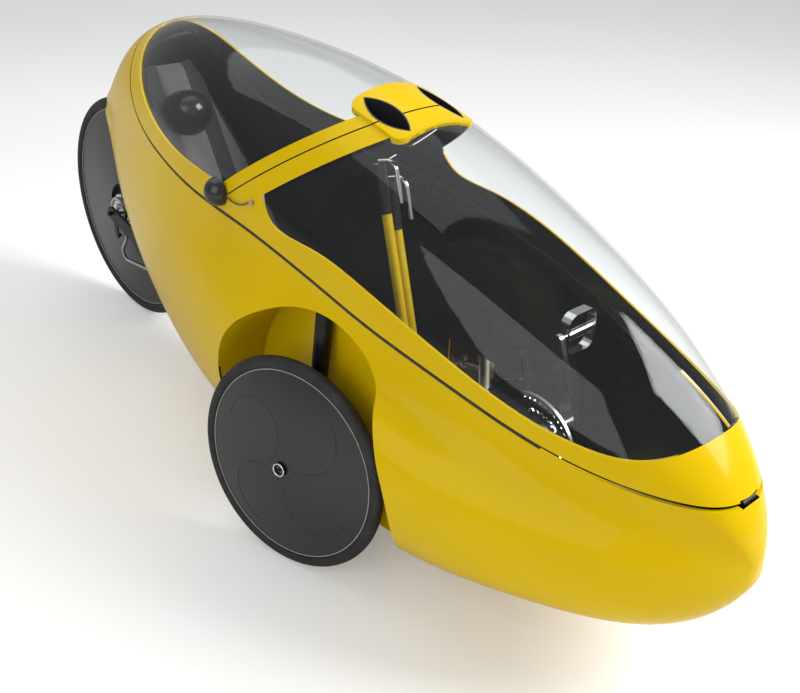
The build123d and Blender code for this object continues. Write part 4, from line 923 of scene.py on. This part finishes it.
class VELO_OT_stage(bpy.types.Operator):
    """Set the pale floor, the soft lamps, the white surroundings and the photograph's camera"""

    bl_idname = "velo.stage"
    bl_label = "Set the stage"

    # Camera of the photograph: its place, its direction off +Y towards -X, its height angle and its roll
    camera_place = (1.732, -1.362, 1.491)
    camera_azimuth = 46.44
    camera_elevation = 29.45
    camera_roll = 2.68
    floor_size = 30
    floor_height = -0.0005
    world_light = 0.42

    # Each lamp: its name, its place, what it is turned to, its size and its power
    lamps = (
        ("key_lamp", (2.9, 2.3, 3.0), (0.2, 0, 0.4), 2.4, 210.0),
        ("fill_lamp", (1.6, -4.0, 2.8), (0.2, 0, 0.4), 4.0, 80.0),
        ("top_lamp", (-1.6, 0.2, 4.0), (-0.2, 0, 0.4), 4.0, 50.0),
    )

    def execute(self, context):
        scene = context.scene
        bpy.ops.object.select_all(action="DESELECT")
        bpy.ops.mesh.primitive_plane_add(size=self.floor_size, location=(0, 0, self.floor_height))
        floor = new_piece("studio_floor")
        floor.data.materials.append(stage_surface("studio_floor", scene.velomobile_colours.floor))
        self.surroundings(scene)
        for lamp in self.lamps:
            soft_lamp(*lamp)
        self.camera(scene)
        scene.view_settings.view_transform = "Standard"
        return {"FINISHED"}

    def surroundings(self, scene):
        """White all round, brighter to the camera and to transmission rays than as a light."""
        world = bpy.data.worlds.new("studio")
        world.use_nodes = True
        nodes = world.node_tree.nodes
        links = world.node_tree.links
        lit = nodes["Background"]
        lit.inputs["Color"].default_value = (1, 1, 1, 1)
        lit.inputs["Strength"].default_value = self.world_light
        seen = nodes.new("ShaderNodeBackground")
        seen.inputs["Color"].default_value = (1, 1, 1, 1)
        seen.inputs["Strength"].default_value = 1.0
        path = nodes.new("ShaderNodeLightPath")
        either = nodes.new("ShaderNodeMath")
        either.operation = "MAXIMUM"
        links.new(path.outputs["Is Camera Ray"], either.inputs[0])
        links.new(path.outputs["Is Transmission Ray"], either.inputs[1])
        both = nodes.new("ShaderNodeMixShader")
        links.new(either.outputs["Value"], both.inputs["Fac"])
        links.new(lit.outputs["Background"], both.inputs[1])
        links.new(seen.outputs["Background"], both.inputs[2])
        links.new(both.outputs["Shader"], nodes["World Output"].inputs["Surface"])
        scene.world = world

    def camera(self, scene):
        """The camera, turned by its azimuth, elevation and roll."""
        azimuth = math.radians(self.camera_azimuth)
        elevation = math.radians(self.camera_elevation)
        roll = math.radians(self.camera_roll)
        level = math.cos(elevation)
        back = Vector((math.sin(azimuth) * level, -math.cos(azimuth) * level, math.sin(elevation)))
        right = Vector((math.cos(azimuth), math.sin(azimuth), 0))
        up = back.cross(right)
        rolled_right = right * math.cos(roll) + up * math.sin(roll)
        rolled_up = up * math.cos(roll) - right * math.sin(roll)
        turn = Matrix((rolled_right, rolled_up, back)).transposed()
        bpy.ops.object.camera_add(location=self.camera_place, rotation=turn.to_euler())
        camera = bpy.context.object
        camera.name = "photograph_camera"
        camera.data.sensor_width = 36.0
        camera.data.lens = scene.velomobile_sizes.camera_lens
        scene.camera = camera


OPERATORS = (
    VELO_OT_dress_shell, VELO_OT_seam_seal, VELO_OT_duct_ribs, VELO_OT_head_dome, VELO_OT_rim_lines,
    VELO_OT_cover_relief, VELO_OT_seat_cushion, VELO_OT_harness, VELO_OT_lanyards, VELO_OT_stage,
)


class VELO_PT_dressing(bpy.types.Panel):
    """Shows the colours, the sizes and the dressing steps in the sidebar"""

    bl_idname = "VELO_PT_dressing"
    bl_label = "Velomobile"
    bl_space_type = "VIEW_3D"
    bl_region_type = "UI"
    bl_category = "Velomobile"

    def draw(self, context):
        layout = self.layout
        for settings in (context.scene.velomobile_colours, context.scene.velomobile_sizes):
            for name in settings.__annotations__:
                layout.prop(settings, name)
        for operator in OPERATORS:
            layout.operator(operator.bl_idname)


CLASSES = (VelomobileColours, VelomobileSizes, *OPERATORS, VELO_PT_dressing)


def register():
    for cls in CLASSES:
        bpy.utils.register_class(cls)
    bpy.types.Scene.velomobile_colours = PointerProperty(type=VelomobileColours)
    bpy.types.Scene.velomobile_sizes = PointerProperty(type=VelomobileSizes)


def unregister():
    del bpy.types.Scene.velomobile_sizes
    del bpy.types.Scene.velomobile_colours
    for cls in reversed(CLASSES):
        bpy.utils.unregister_class(cls)


def main():
    register()
    for operator in OPERATORS:
        group, name = operator.bl_idname.split(".")
        getattr(getattr(bpy.ops, group), name)()


if __name__ == "__main__":
    main()
